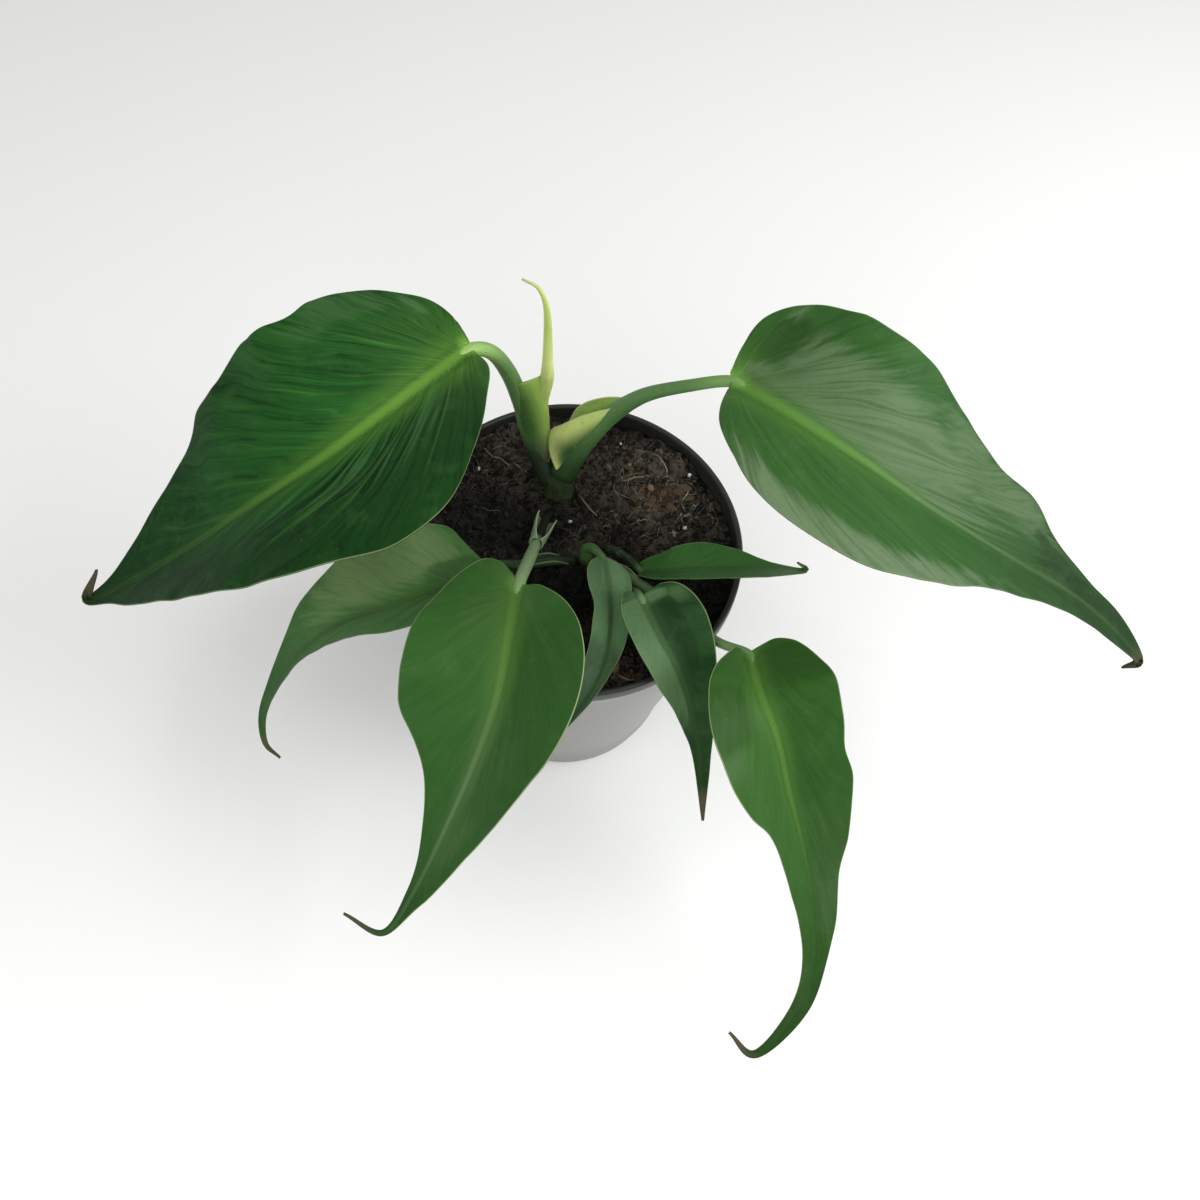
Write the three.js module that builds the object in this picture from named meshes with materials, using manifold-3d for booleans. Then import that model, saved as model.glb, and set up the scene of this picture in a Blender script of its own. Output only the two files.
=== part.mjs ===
// A young climbing philodendron with long flame-shaped leaves in a round nursery pot.
// Millimetres, +Z up. The origin is the middle of the pot's underside, -Y is the viewer's side.
import * as THREE from 'three';
import { mergeVertices } from 'three/addons/utils/BufferGeometryUtils.js';
import Module from 'manifold-3d';

const wasm = await Module();
wasm.setup();

// Pot: a thin thermoformed nursery pot with a rolled lip and a stepped foot.
const potHeight = 112;
const potRimRadius = 60;
const potTopRadius = 59;
const potBaseRadius = 40;
const potWall = 1.2;
const lipHeight = 5;
const lipRound = 1;
const footHeight = 9;
const footStep = 1.2;
const drainHoleRadius = 4;
const drainHoleCircle = 27;
const drainHoleCount = 6;
const drainHoleSides = 12;
const potSegments = 36;

// Soil: fills the pot nearly to the lip, a little higher to the back and left, with a low mound.
const soilEdgeHeight = 106.5;
const soilTilt = 0.018;
const soilMoundHeight = 2.5;
const soilMoundRadius = 34;
const soilLump = 0.8;
const soilRings = 8;

// Plant.
const bladeThickness = 0.8;
const sheathThickness = 0.9;
const gap = 0.35;
const veinLag = 1.5;
const veinBow = 1.15;
const ribSink = 0.15;

const greens = { deep: 0x1f4f25, middle: 0x33662c, fresh: 0x3f7a33, pale: 0xb7c76a, stem: 0x4d5a30 };

// Each leaf grew as one piece: a blade hung on its midrib, and a petiole with its sheath.
// midrib: points from the junction to the tip. face: which way the upper side looks.
// left and right: the margin as [along the midrib, out from it], seen from above, tip ahead.
// fold: degrees that each half rises from the midrib, at the junction and at the tip.
// sheath: from and to along the petiole, the way it opens, half its width towards the opening and across it,
// and the degrees round from its back to the left and the right margin.
const leaves = [
  {
    name: 'leaf_back_left',
    colour: greens.deep,
    rows: 28,
    columns: 4,
    midrib: [
      [-39, 28, 175], [-56, -1, 181], [-75, -21, 176], [-98, -32, 160],
      [-123, -39, 137], [-157, -46, 110], [-156, -38, 117],
    ],
    face: [0, 0, 1],
    fold: { left: [18, 20], right: [20, 22] },
    camber: -0.006,
    left: [
      [1, 2], [6, 12], [20, 22], [35, 34], [47, 43], [58, 45], [68, 40],
      [86, 35], [108, 27], [130, 19], [148, 12], [165, 4], [185, 0.5],
    ],
    right: [
      [-1, 2], [-4, 14], [0, 26], [14, 39], [30, 45], [42, 44], [55, 48], [80, 50],
      [92, 45], [104, 42], [110, 35], [123, 27], [138, 18], [161, 6], [185, 0.5],
    ],
    petiole: [
      [-11, 23.5, 112.5], [-15.5, 28, 118], [-21, 34, 127], [-24, 35, 141],
      [-28, 34, 157], [-33, 31, 170], [-39, 28, 175],
    ],
    petioleRadius: [4.2, 3.6, 3.1, 3, 2.9, 2.6, 2.3],
    sheath: {
      from: 0.05, to: 0.635, open: [1, 0.35, 0],
      wide: [3.6, 4.4, 5.2, 5.6, 6.2, 7.2], deep: [3.2, 3.5, 3.9, 3.8, 3.2, 2.4],
      left: [70, 150, 168, 170, 168, 128], right: [70, 110, 120, 100, 60, 30],
    },
  },
  {
    name: 'leaf_right',
    colour: greens.middle,
    rows: 28,
    columns: 4,
    midrib: [
      [44, 26, 178], [62, 11, 184], [85, -1, 181], [111, -6, 167],
      [141, -9, 150], [170, -12, 134], [195, -21, 118], [192, -23, 112],
    ],
    face: [0, 0, 1],
    fold: { left: [24, 24], right: [20, 20] },
    camber: -0.006,
    left: [
      [-2, 2], [-5, 12], [-6, 24], [1, 35], [12, 41], [38, 43], [64, 42],
      [80, 35], [98, 27], [118, 23], [130, 15], [148, 8], [165, 6], [188, 0.5],
    ],
    right: [
      [2, 2], [7, 11], [17, 24], [32, 37], [46, 41], [60, 40],
      [82, 31], [105, 20], [129, 13], [152, 8], [170, 5], [188, 0.5],
    ],
    petiole: [
      [-7.3, 23.5, 116.5], [-4.8, 27, 122], [0, 31, 130.5], [8, 34, 142],
      [18, 32, 157], [32, 28, 170], [44, 26, 178],
    ],
    petioleRadius: [4.8, 4.3, 3.4, 2.8, 2.3, 2, 1.9],
    sheath: {
      from: 0.02, to: 0.446, open: [-0.6, 0.75, 0.3],
      wide: [5, 7.8, 8, 6.8, 5, 3.4], deep: [4.4, 4.9, 5, 4.3, 3.2, 2.2],
      left: [60, 120, 140, 160, 160, 130], right: [80, 150, 118, 105, 95, 85],
    },
  },
  {
    name: 'leaf_front',
    colour: greens.middle,
    rows: 28,
    columns: 4,
    midrib: [
      [-15, -33, 135], [-15, -55, 138], [-16, -73, 132], [-21, -89, 116],
      [-28, -105, 98], [-36, -122, 82], [-45, -134, 70], [-60, -128, 64],
    ],
    face: [-0.28, -0.3, 1],
    fold: { left: [18, 22], right: [20, 22] },
    camber: -0.006,
    left: [
      [1, 2], [3, 9], [13, 20], [23, 27], [34, 29], [48, 26],
      [60, 22], [78, 17], [98, 11], [114, 6], [129, 1.5], [152, 0.5],
    ],
    right: [
      [-2, 2], [-8, 7], [-8, 14], [2, 23], [18, 31], [34, 33], [50, 32],
      [58, 29], [66, 21], [78, 13], [98, 6], [116, 2.5], [152, 0.5],
    ],
    petiole: [
      [-9.5, 14, 107], [-11, 7.5, 111], [-12, -2, 115.5],
      [-13.5, -18, 125.5], [-14.5, -28, 132], [-15, -33, 135],
    ],
    petioleRadius: [1.7, 1.4, 1.7, 2.1, 2.1, 2],
    sheath: {
      from: 0.14, to: 0.47, open: [0.2, -0.3, 1],
      wide: [2.6, 2.5, 2.4, 2.2], deep: [3.6, 3.2, 2.7, 2.2],
      left: [105, 115, 130, 165], right: [105, 115, 130, 165],
    },
  },
  {
    name: 'leaf_left',
    colour: greens.middle,
    rows: 22,
    columns: 4,
    midrib: [
      [-29, -14, 112], [-42, -28, 118], [-57, -35, 113], [-73, -37, 102], [-86, -41, 90],
      [-97, -47, 76], [-105, -57, 60], [-105, -65, 48], [-99, -69, 44],
    ],
    face: [-0.15, 0, 1],
    fold: { left: [26, 30], right: [16, 20] },
    camber: -0.006,
    left: [
      [1, 2], [8, 8], [17, 14], [30, 15], [45, 13],
      [62, 10], [78, 6], [95, 4], [112, 2.5], [138, 0.5],
    ],
    right: [
      [0, 2], [1, 10], [2, 20], [10, 26], [24, 29], [40, 29],
      [55, 25], [66, 20], [78, 15], [92, 7], [108, 3], [138, 0.5],
    ],
    petiole: [[1, -6, 107.5], [-7, -9, 111], [-16, -12.5, 112.5], [-23, -14, 113], [-29, -14, 112]],
    petioleRadius: [2, 1.8, 1.6, 1.6, 1.5],
    sheath: {
      from: 0.1, to: 0.6, open: [0, 0.5, 1],
      wide: [2.2, 2.6, 2.6, 2], deep: [2.2, 2.6, 2.6, 2],
      left: [80, 100, 95, 85], right: [80, 100, 95, 85],
    },
  },
  {
    name: 'leaf_centre_small',
    colour: greens.fresh,
    rows: 18,
    columns: 3,
    midrib: [[11, -6, 113], [14, -20, 119], [16, -33, 121], [16, -47, 120], [12, -61, 118], [2, -75, 108]],
    face: [0, -0.3, 1],
    fold: { left: [18, 26], right: [30, 30] },
    camber: -0.01,
    left: [[0, 1], [6, 5], [15, 8], [24, 7.5], [38, 6], [50, 3.5], [62, 2], [79, 0.5]],
    right: [[-1, 1], [3, 5], [9, 7.5], [17, 8], [25, 6.5], [34, 7], [48, 7], [60, 5.5], [70, 3], [79, 0.5]],
    petiole: [[4.5, -4.5, 106.5], [4.5, -2.5, 110.5], [7, -3, 113], [11, -6, 113]],
    petioleRadius: [2, 2, 1.7, 1.3],
  },
  {
    name: 'leaf_middle_right',
    colour: greens.fresh,
    rows: 22,
    columns: 3,
    midrib: [[25, -27, 126], [33, -39, 123], [40, -46, 115], [47, -55, 102], [52, -65, 89], [57, -82, 72]],
    face: [0, -0.3, 1],
    fold: { left: [12, 22], right: [26, 30] },
    camber: -0.01,
    left: [[0, 1.5], [-1, 8], [2, 14], [9, 17], [19, 17], [30, 13.5], [44, 9], [60, 5], [72, 3], [87, 0.5]],
    right: [[0, 1], [-3, 3], [-3, 6], [3, 9.5], [14, 10.5], [28, 10], [40, 7], [52, 4.5], [62, 2.5], [87, 0.5]],
    petiole: [[8.5, -9.5, 106.5], [12, -14.5, 110.5], [17, -18, 113], [23, -20.5, 117], [25, -27, 126]],
    petioleRadius: [1.9, 1.8, 1.6, 1.5, 1.4],
  },
  {
    name: 'leaf_front_right',
    colour: greens.fresh,
    rows: 28,
    columns: 4,
    midrib: [
      [63, -39, 119], [67, -57, 125], [74, -68, 118], [81, -79, 103], [90, -91, 84],
      [97, -104, 67], [101, -120, 52], [98, -135, 40], [86, -150, 32], [76, -145, 35],
    ],
    face: [0, -0.3, 1],
    fold: { left: [18, 22], right: [26, 22] },
    camber: -0.006,
    left: [
      [0, 1.5], [-1, 5], [-3, 10], [1, 17], [10, 22], [22, 25], [33, 23], [42, 21],
      [54, 22], [66, 19.5], [79, 15.5], [92, 10.5], [109, 8], [124, 5], [146, 4], [177, 0.5],
    ],
    right: [
      [-1, 2], [-2, 5], [1, 8], [9, 14], [18, 19], [27, 23], [43, 21],
      [56, 17], [66, 12], [78, 10], [96, 8], [112, 5.5], [140, 2.5], [177, 0.5],
    ],
    petiole: [
      [10.5, -4, 107], [15, -8, 110.5], [20, -12, 112], [29, -18, 114],
      [43, -28.5, 115.5], [53, -35, 116], [63, -39, 119],
    ],
    petioleRadius: [2.1, 2, 1.9, 1.8, 1.8, 1.6, 1.6],
    sheath: {
      from: 0.12, to: 0.26, open: [-0.2, 0.5, 1],
      wide: [2.4, 2.7, 2.3], deep: [2.4, 2.7, 2.3],
      left: [90, 90, 80], right: [90, 90, 80],
    },
  },
  {
    name: 'leaf_right_small',
    colour: greens.fresh,
    rows: 20,
    columns: 3,
    midrib: [
      [25, -9, 112], [33, -11, 119], [44, -11, 123], [58, -9, 123],
      [70, -6, 120], [81, -2, 115], [78, -1, 118],
    ],
    face: [0, 0.35, 1],
    fold: { left: [24, 28], right: [22, 25] },
    camber: -0.01,
    left: [[-2, 1], [-3, 5], [4, 8.5], [13, 10], [24, 10.5], [37, 7.5], [49, 3], [67, 0.5]],
    right: [[1, 1], [3, 6], [9, 10], [20, 10], [33, 9], [46, 7], [57, 3.5], [67, 0.5]],
    petiole: [[8.5, 0.5, 107], [13.5, -1, 110.5], [19.5, -4.5, 112], [25, -9, 112]],
    petioleRadius: [1.7, 1.6, 1.4, 1.2],
  },
];

const newLeaf = {
  path: [
    [-12.5, 26, 115.5], [-14, 29.5, 119], [-16.4, 35.6, 127.5], [-17.1, 37.2, 140], [-15.7, 37, 152],
    [-15.3, 36.5, 158], [-15.8, 38, 176], [-16.7, 37.7, 188], [-19.2, 37, 196], [-24, 36, 200],
  ],
  radius: [1.8, 2.1, 2.4, 2.5, 1.8, 1.35, 0.95, 0.4],
};

// Stems: short upright stocks whose feet stand in plain holes in the soil.
const stems = [
  {
    name: 'main_stem',
    path: [[-6, 17, 66], [-7, 18.5, 90], [-7.8, 22, 109], [-8.2, 24.5, 116]],
    radius: [5, 6, 5.6, 5],
  },
  {
    name: 'second_stem',
    path: [[6, -1, 72], [6, -2.5, 92], [6, -4, 107], [6, -4, 110.5]],
    radius: [5, 5.5, 5, 3.4],
  },
];

const curveThrough = (points) => {
  const stations = points.map((point) => new THREE.Vector3(...point));
  return new THREE.CatmullRomCurve3(stations, false, 'catmullrom', 0.5);
};

// The value at u, from 0 to 1, of a list of values spread evenly from start to end.
const valueAlong = (values, u) => {
  const place = Math.min(Math.max(u, 0), 1) * (values.length - 1);
  const before = Math.min(Math.floor(place), values.length - 2);
  return THREE.MathUtils.lerp(values[before], values[before + 1], place - before);
};

// A closed geometry becomes a solid once shared vertices are merged and flat triangles dropped.
const solidOf = (geometry) => {
  const bare = new THREE.BufferGeometry();
  bare.setAttribute('position', geometry.attributes.position);
  bare.setIndex(geometry.index);
  const merged = mergeVertices(bare, 1e-4);
  const corners = merged.index.array;
  const kept = [];
  for (let i = 0; i < corners.length; i += 3) {
    const [a, b, c] = [corners[i], corners[i + 1], corners[i + 2]];
    if (a !== b && b !== c && c !== a) kept.push(a, b, c);
  }
  const vertProperties = new Float32Array(merged.attributes.position.array);
  const triVerts = new Uint32Array(kept);
  return new wasm.Manifold(new wasm.Mesh({ numProp: 3, vertProperties, triVerts }));
};

// The largest body of a solid as a geometry, so that no cut leaves a loose scrap behind.
const geometryOf = (solid) => {
  const bodies = solid.decompose();
  bodies.sort((first, second) => second.volume() - first.volume());
  const mesh = bodies[0].getMesh();
  const geometry = new THREE.BufferGeometry();
  geometry.setAttribute('position', new THREE.BufferAttribute(mesh.vertProperties, 3));
  geometry.setIndex(new THREE.BufferAttribute(mesh.triVerts, 1));
  geometry.computeVertexNormals();
  return geometry;
};

// A round bar bent along a curve, with its radius changing from end to end.
const taperedBar = (points, radii, sides, steps, extra = 0) => {
  const path = curveThrough(points);
  const frames = path.computeFrenetFrames(steps, false);
  const bar = new THREE.CylinderGeometry(1, 1, 1, sides, steps);
  const position = bar.attributes.position;
  const vertex = new THREE.Vector3();
  for (let i = 0; i < position.count; i++) {
    vertex.fromBufferAttribute(position, i);
    const station = Math.round((vertex.y + 0.5) * steps);
    const radius = valueAlong(radii, station / steps) + extra;
    const place = path.getPointAt(station / steps);
    place.addScaledVector(frames.normals[station], vertex.x * radius);
    place.addScaledVector(frames.binormals[station], -vertex.z * radius);
    position.setXYZ(i, place.x, place.y, place.z);
  }
  return bar;
};

// The unit normal at one place of a grid of points, on the side that looks up from the sheet.
const gridNormal = (grid, i, j) => {
  const row = grid[i];
  const ahead = grid[Math.min(i + 1, grid.length - 1)][j];
  const behind = grid[Math.max(i - 1, 0)][j];
  const across = row[Math.min(j + 1, row.length - 1)].clone().sub(row[Math.max(j - 1, 0)]);
  return across.cross(ahead.clone().sub(behind)).normalize();
};

// A thin closed sheet over a grid of points: two faces split alike, joined round the margin.
const sheet = (grid, thickness) => {
  const rows = grid.length;
  const columns = grid[0].length;
  const layer = rows * columns;
  const positions = [];
  for (const side of [0.5, -0.5]) {
    for (let i = 0; i < rows; i++) {
      for (let j = 0; j < columns; j++) {
        const place = grid[i][j].clone().addScaledVector(gridNormal(grid, i, j), side * thickness);
        positions.push(place.x, place.y, place.z);
      }
    }
  }
  const corner = (i, j) => i * columns + j;
  const faces = [];
  for (let i = 0; i < rows - 1; i++) {
    for (let j = 0; j < columns - 1; j++) {
      const [a, b, c, d] = [corner(i, j), corner(i, j + 1), corner(i + 1, j + 1), corner(i + 1, j)];
      faces.push(a, b, c, a, c, d);
      faces.push(layer + a, layer + c, layer + b, layer + a, layer + d, layer + c);
    }
  }
  const margin = [];
  for (let j = 0; j < columns - 1; j++) margin.push(corner(0, j));
  for (let i = 0; i < rows - 1; i++) margin.push(corner(i, columns - 1));
  for (let j = columns - 1; j > 0; j--) margin.push(corner(rows - 1, j));
  for (let i = rows - 1; i > 0; i--) margin.push(corner(i, 0));
  margin.forEach((here, k) => {
    const next = margin[(k + 1) % margin.length];
    faces.push(here, layer + here, layer + next, here, layer + next, next);
  });
  const geometry = new THREE.BufferGeometry();
  geometry.setAttribute('position', new THREE.Float32BufferAttribute(positions, 3));
  geometry.setIndex(faces);
  return geometry;
};

// Position, heading, sideways and upper directions of the midrib at a distance from the junction.
const midribFrame = (leaf, path, length, along) => {
  const u = THREE.MathUtils.clamp(along / length, 0, 1);
  const heading = path.getTangentAt(u);
  const up = new THREE.Vector3(...leaf.face);
  up.addScaledVector(heading, -up.dot(heading)).normalize();
  const place = path.getPointAt(u).addScaledVector(heading, along - u * length);
  return { u, place, heading, up, side: heading.clone().cross(up) };
};

// A point of the blade: each half rises by its fold angle and its camber bends it down again.
const bladePoint = (leaf, path, length, hand, along, out) => {
  const frame = midribFrame(leaf, path, length, along);
  const fold = THREE.MathUtils.degToRad(valueAlong(hand < 0 ? leaf.fold.left : leaf.fold.right, frame.u));
  const place = frame.place.addScaledVector(frame.side, hand * out * Math.cos(fold));
  return place.addScaledVector(frame.up, out * Math.sin(fold) + 0.5 * leaf.camber * out * out);
};

// Grid rows follow the side veins: they leave the midrib and bow forward to the margin.
const bladeGrid = (leaf) => {
  const path = curveThrough(leaf.midrib);
  const length = path.getLength();
  const flat = ([along, out]) => [along, out, 0];
  const margins = [leaf.left, leaf.right].map((side) => curveThrough(side.map(flat)));
  const grid = [];
  for (let i = 0; i <= leaf.rows; i++) {
    const start = length * (i / leaf.rows) ** veinLag;
    const row = [];
    for (let j = -leaf.columns; j <= leaf.columns; j++) {
      const end = margins[j < 0 ? 0 : 1].getPointAt(i / leaf.rows);
      const share = Math.abs(j) / leaf.columns;
      const along = start + (end.x - start) * share ** veinBow;
      row.push(bladePoint(leaf, path, length, Math.sign(j), along, end.y * share));
    }
    grid.push(row);
  }
  return grid;
};

// A tapering rib along the underside of the blade, from the junction towards the tip.
const underRib = (leaf) => {
  const path = curveThrough(leaf.midrib);
  const length = path.getLength();
  const rootRadius = leaf.petioleRadius.at(-1);
  const radii = [rootRadius, 0.6 * rootRadius, 0.45 * rootRadius, 0.3 * rootRadius];
  const points = [0, 0.15, 0.3, 0.45, 0.6, 0.75].map((u) => {
    const frame = midribFrame(leaf, path, length, u * length);
    return frame.place.addScaledVector(frame.up, ribSink - valueAlong(radii, u / 0.75)).toArray();
  });
  return taperedBar(points, radii, 5, 8);
};

// A sheath is an oval trough round part of the petiole, open towards one side.
const sheathGrid = (leaf) => {
  const { from, to, open, wide, deep, left, right } = leaf.sheath;
  const path = curveThrough(leaf.petiole);
  const rows = 6;
  const columns = 6;
  const grid = [];
  for (let i = 0; i <= rows; i++) {
    const share = i / rows;
    const u = THREE.MathUtils.lerp(from, to, share);
    const heading = path.getTangentAt(u);
    const mouth = new THREE.Vector3(...open);
    mouth.addScaledVector(heading, -mouth.dot(heading)).normalize();
    const side = heading.clone().cross(mouth);
    const halfWidth = valueAlong(wide, share);
    const halfDepth = valueAlong(deep, share);
    const centre = path.getPointAt(u);
    centre.addScaledVector(mouth, halfWidth - 0.8 * valueAlong(leaf.petioleRadius, u));
    const row = [];
    for (let j = 0; j <= columns; j++) {
      const degrees = THREE.MathUtils.lerp(-valueAlong(left, share), valueAlong(right, share), j / columns);
      const angle = THREE.MathUtils.degToRad(degrees);
      const place = centre.clone().addScaledVector(mouth, -halfWidth * Math.cos(angle));
      row.push(place.addScaledVector(side, halfDepth * Math.sin(angle)));
    }
    grid.push(row);
  }
  return grid;
};

const leafSolid = (leaf) => {
  let solid = solidOf(sheet(bladeGrid(leaf), bladeThickness));
  solid = solid.add(solidOf(underRib(leaf)));
  solid = solid.add(solidOf(taperedBar(leaf.petiole, leaf.petioleRadius, 8, 11)));
  if (leaf.sheath) solid = solid.add(solidOf(sheet(sheathGrid(leaf), sheathThickness)));
  return solid;
};

const petioleRoom = (leaf) => solidOf(taperedBar(leaf.petiole, leaf.petioleRadius, 8, 11, gap));

const turned = (profile) => {
  const points = profile.map(([radius, height]) => new THREE.Vector2(radius, height));
  return new THREE.LatheGeometry(points, potSegments).rotateX(Math.PI / 2);
};

const wallRadiusAt = (height) => {
  const share = (height - footHeight) / (potHeight - lipHeight - footHeight);
  return THREE.MathUtils.lerp(potBaseRadius + footStep, potTopRadius, share);
};

const potSolid = () => {
  const lipFoot = potHeight - lipHeight;
  const innerTop = potTopRadius - potWall;
  const profile = [
    [0, 0],
    [potBaseRadius - 1, 0],
    [potBaseRadius, 1],
    [potBaseRadius + 0.8, footHeight - 1],
    [potBaseRadius + footStep + 0.8, footHeight],
    [potTopRadius, lipFoot],
    [potRimRadius - 0.4, lipFoot],
    [potRimRadius, lipFoot + lipRound],
    [potRimRadius, potHeight - lipRound],
    [potRimRadius - lipRound, potHeight],
    [innerTop + lipRound, potHeight],
    [innerTop, potHeight - lipRound],
    [innerTop, lipFoot],
    [wallRadiusAt(footHeight) - potWall, footHeight],
    [potBaseRadius - potWall, footHeight - 1],
    [potBaseRadius - potWall - 1, potWall],
    [0, potWall],
  ];
  let pot = solidOf(turned(profile));
  for (let i = 0; i < drainHoleCount; i++) {
    const angle = (2 * Math.PI * i) / drainHoleCount;
    const drill = new THREE.CylinderGeometry(drainHoleRadius, drainHoleRadius, 4 * potWall, drainHoleSides);
    drill.rotateX(Math.PI / 2);
    drill.translate(drainHoleCircle * Math.cos(angle), drainHoleCircle * Math.sin(angle), 0);
    pot = pot.subtract(solidOf(drill));
  }
  return pot;
};

// Soil height: a mound round the stems and three crossing ripples for the crumbs.
const soilHeight = (x, y, edgeShare) => {
  const distance = Math.hypot(x, y - 8) / soilMoundRadius;
  const mound = soilMoundHeight * Math.exp(-distance * distance);
  const ripples = Math.sin(x / 4 + y / 9) + Math.sin(y / 5 - x / 11) + Math.sin((x + y) / 3);
  return soilEdgeHeight + soilTilt * (y - x) + mound + soilLump * ripples * (1 - edgeShare ** 4);
};

const soilSolid = () => {
  const innerRadiusAt = (height) => wallRadiusAt(height) - potWall - gap - 0.3;
  const edgeRadius = innerRadiusAt(soilEdgeHeight - 2 * potRimRadius * soilTilt);
  const floorRadius = potBaseRadius - potWall - 1 - gap;
  const profile = [
    [0, potWall + gap],
    [floorRadius, potWall + gap],
    [floorRadius + 0.8, footHeight - 1],
    [innerRadiusAt(footHeight), footHeight + 1],
    [edgeRadius, soilEdgeHeight],
  ];
  for (let ring = 1; ring <= soilRings; ring++) {
    profile.push([edgeRadius * (1 - ring / soilRings), soilEdgeHeight]);
  }
  const soil = turned(profile);
  const position = soil.attributes.position;
  for (let i = 0; i < position.count; i++) {
    const [x, y, z] = [position.getX(i), position.getY(i), position.getZ(i)];
    if (z > soilEdgeHeight - 1) position.setZ(i, soilHeight(x, y, Math.hypot(x, y) / edgeRadius));
  }
  return solidOf(soil);
};

const group = new THREE.Group();

const addNode = (name, solid, colour, roughness) => {
  const material = new THREE.MeshStandardMaterial({ color: colour, roughness, metalness: 0 });
  const mesh = new THREE.Mesh(geometryOf(solid), material);
  mesh.name = name;
  group.add(mesh);
};

// What the stems and petioles need: their own bars, grown by the gap, are cut from what holds them.
const [backLeft, right] = leaves;
const newLeafRoom = solidOf(taperedBar(newLeaf.path, newLeaf.radius, 8, 20, gap));

addNode('pot', potSolid(), 0x1c1d1f, 0.45);

let soil = soilSolid();
for (const stem of stems) soil = soil.subtract(solidOf(taperedBar(stem.path, stem.radius, 12, 10, gap)));
for (const leaf of leaves) soil = soil.subtract(petioleRoom(leaf));
addNode('soil', soil, 0x2b211b, 0.95);

for (const stem of stems) {
  let stock = solidOf(taperedBar(stem.path, stem.radius, 12, 10));
  for (const leaf of leaves) stock = stock.subtract(petioleRoom(leaf));
  addNode(stem.name, stock.subtract(newLeafRoom), greens.stem, 0.6);
}

for (const leaf of leaves) {
  let solid = leafSolid(leaf).subtract(newLeafRoom);
  if (leaf === backLeft) solid = solid.subtract(petioleRoom(right));
  addNode(leaf.name, solid, leaf.colour, 0.35);
}

addNode('new_leaf', solidOf(taperedBar(newLeaf.path, newLeaf.radius, 8, 20)), greens.pale, 0.4);

export default group;
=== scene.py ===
# A young climbing philodendron with long flame-shaped leaves, in a round two-tone nursery pot.
# Lists and sizes are in millimetres, as the solids' are, and makePiece turns them into metres.
from functools import reduce

import bmesh
import bpy
import numpy as np
from mathutils import Matrix, Vector


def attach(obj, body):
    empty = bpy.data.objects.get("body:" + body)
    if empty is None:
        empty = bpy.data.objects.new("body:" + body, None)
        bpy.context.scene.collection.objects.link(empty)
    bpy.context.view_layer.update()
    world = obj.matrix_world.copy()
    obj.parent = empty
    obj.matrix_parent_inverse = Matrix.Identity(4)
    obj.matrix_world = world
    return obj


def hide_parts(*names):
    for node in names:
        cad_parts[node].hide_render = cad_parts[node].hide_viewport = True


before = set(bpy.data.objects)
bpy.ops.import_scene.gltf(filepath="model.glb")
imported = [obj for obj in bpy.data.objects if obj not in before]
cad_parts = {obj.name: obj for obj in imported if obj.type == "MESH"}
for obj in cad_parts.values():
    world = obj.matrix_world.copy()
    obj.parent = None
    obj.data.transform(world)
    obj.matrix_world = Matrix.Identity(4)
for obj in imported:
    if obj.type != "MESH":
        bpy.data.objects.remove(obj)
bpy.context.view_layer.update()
print("frame loaded:", len(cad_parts), "nodes")

mm = 0.001
scene = bpy.context.scene
scene.view_settings.view_transform = "Standard"


# Camera, floor and lights

cameraSettings = {
    "target": (11.8, 6.0, 60.0),  # what the middle of the picture looks at
    "distance": 488.0,
    "elevation": 61.25,  # degrees above the horizon
    "roll": 7.3,  # degrees, the picture leans to the right
    "lens": 37.5,  # for a sensor 36 wide
}

studioSettings = {
    "floorColour": (0.93, 0.93, 0.92),
    "worldColour": (1.0, 1.0, 1.0),
    "worldStrength": 0.42,
}

# Square lights: where they stand as degrees round from the front to the right and up, and distance,
# then the point they aim at, the size across, the brightness in watts, and whether leaves mirror them.
lightSettings = {
    "window": ((88, 40, 900), (20, 0, 120), 650, 7.0, True),
    "fill_front": ((-32, 48, 1000), (0, -20, 100), 900, 5.6, False),
}


def makeCamera():
    tilt, roll = np.radians(cameraSettings["elevation"]), np.radians(cameraSettings["roll"])
    back = np.array([0, -np.cos(tilt), np.sin(tilt)])
    level = np.array([1.0, 0, 0])
    above = np.cross(back, level)
    right = np.cos(roll) * level + np.sin(roll) * above
    up = np.cos(roll) * above - np.sin(roll) * level
    place = np.array(cameraSettings["target"]) + back * cameraSettings["distance"]
    camera = bpy.data.objects.new("camera", bpy.data.cameras.new("camera"))
    camera.data.sensor_width = 36
    camera.data.lens = cameraSettings["lens"]
    camera.data.clip_start = 0.01
    turn = Matrix(np.array([right, up, back]).T.tolist()).to_4x4()
    camera.matrix_world = Matrix.Translation(Vector(place * mm)) @ turn
    scene.collection.objects.link(camera)
    scene.camera = camera


def makeLight(name):
    (round, up, distance), aim, size, power, mirrored = lightSettings[name]
    round, up = np.radians(round), np.radians(up)
    away = np.array([np.sin(round) * np.cos(up), -np.cos(round) * np.cos(up), np.sin(up)])
    light = bpy.data.objects.new(name, bpy.data.lights.new(name, "AREA"))
    light.data.shape = "SQUARE"
    light.data.size = size * mm
    light.data.energy = power
    light.visible_glossy = mirrored
    light.location = Vector((np.array(aim) + away * distance) * mm)
    light.rotation_euler = Vector(away).to_track_quat("Z", "Y").to_euler()
    scene.collection.objects.link(light)


# Shader maths: a Wire is one output socket, and an expression on Wires adds its Math nodes.


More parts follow.
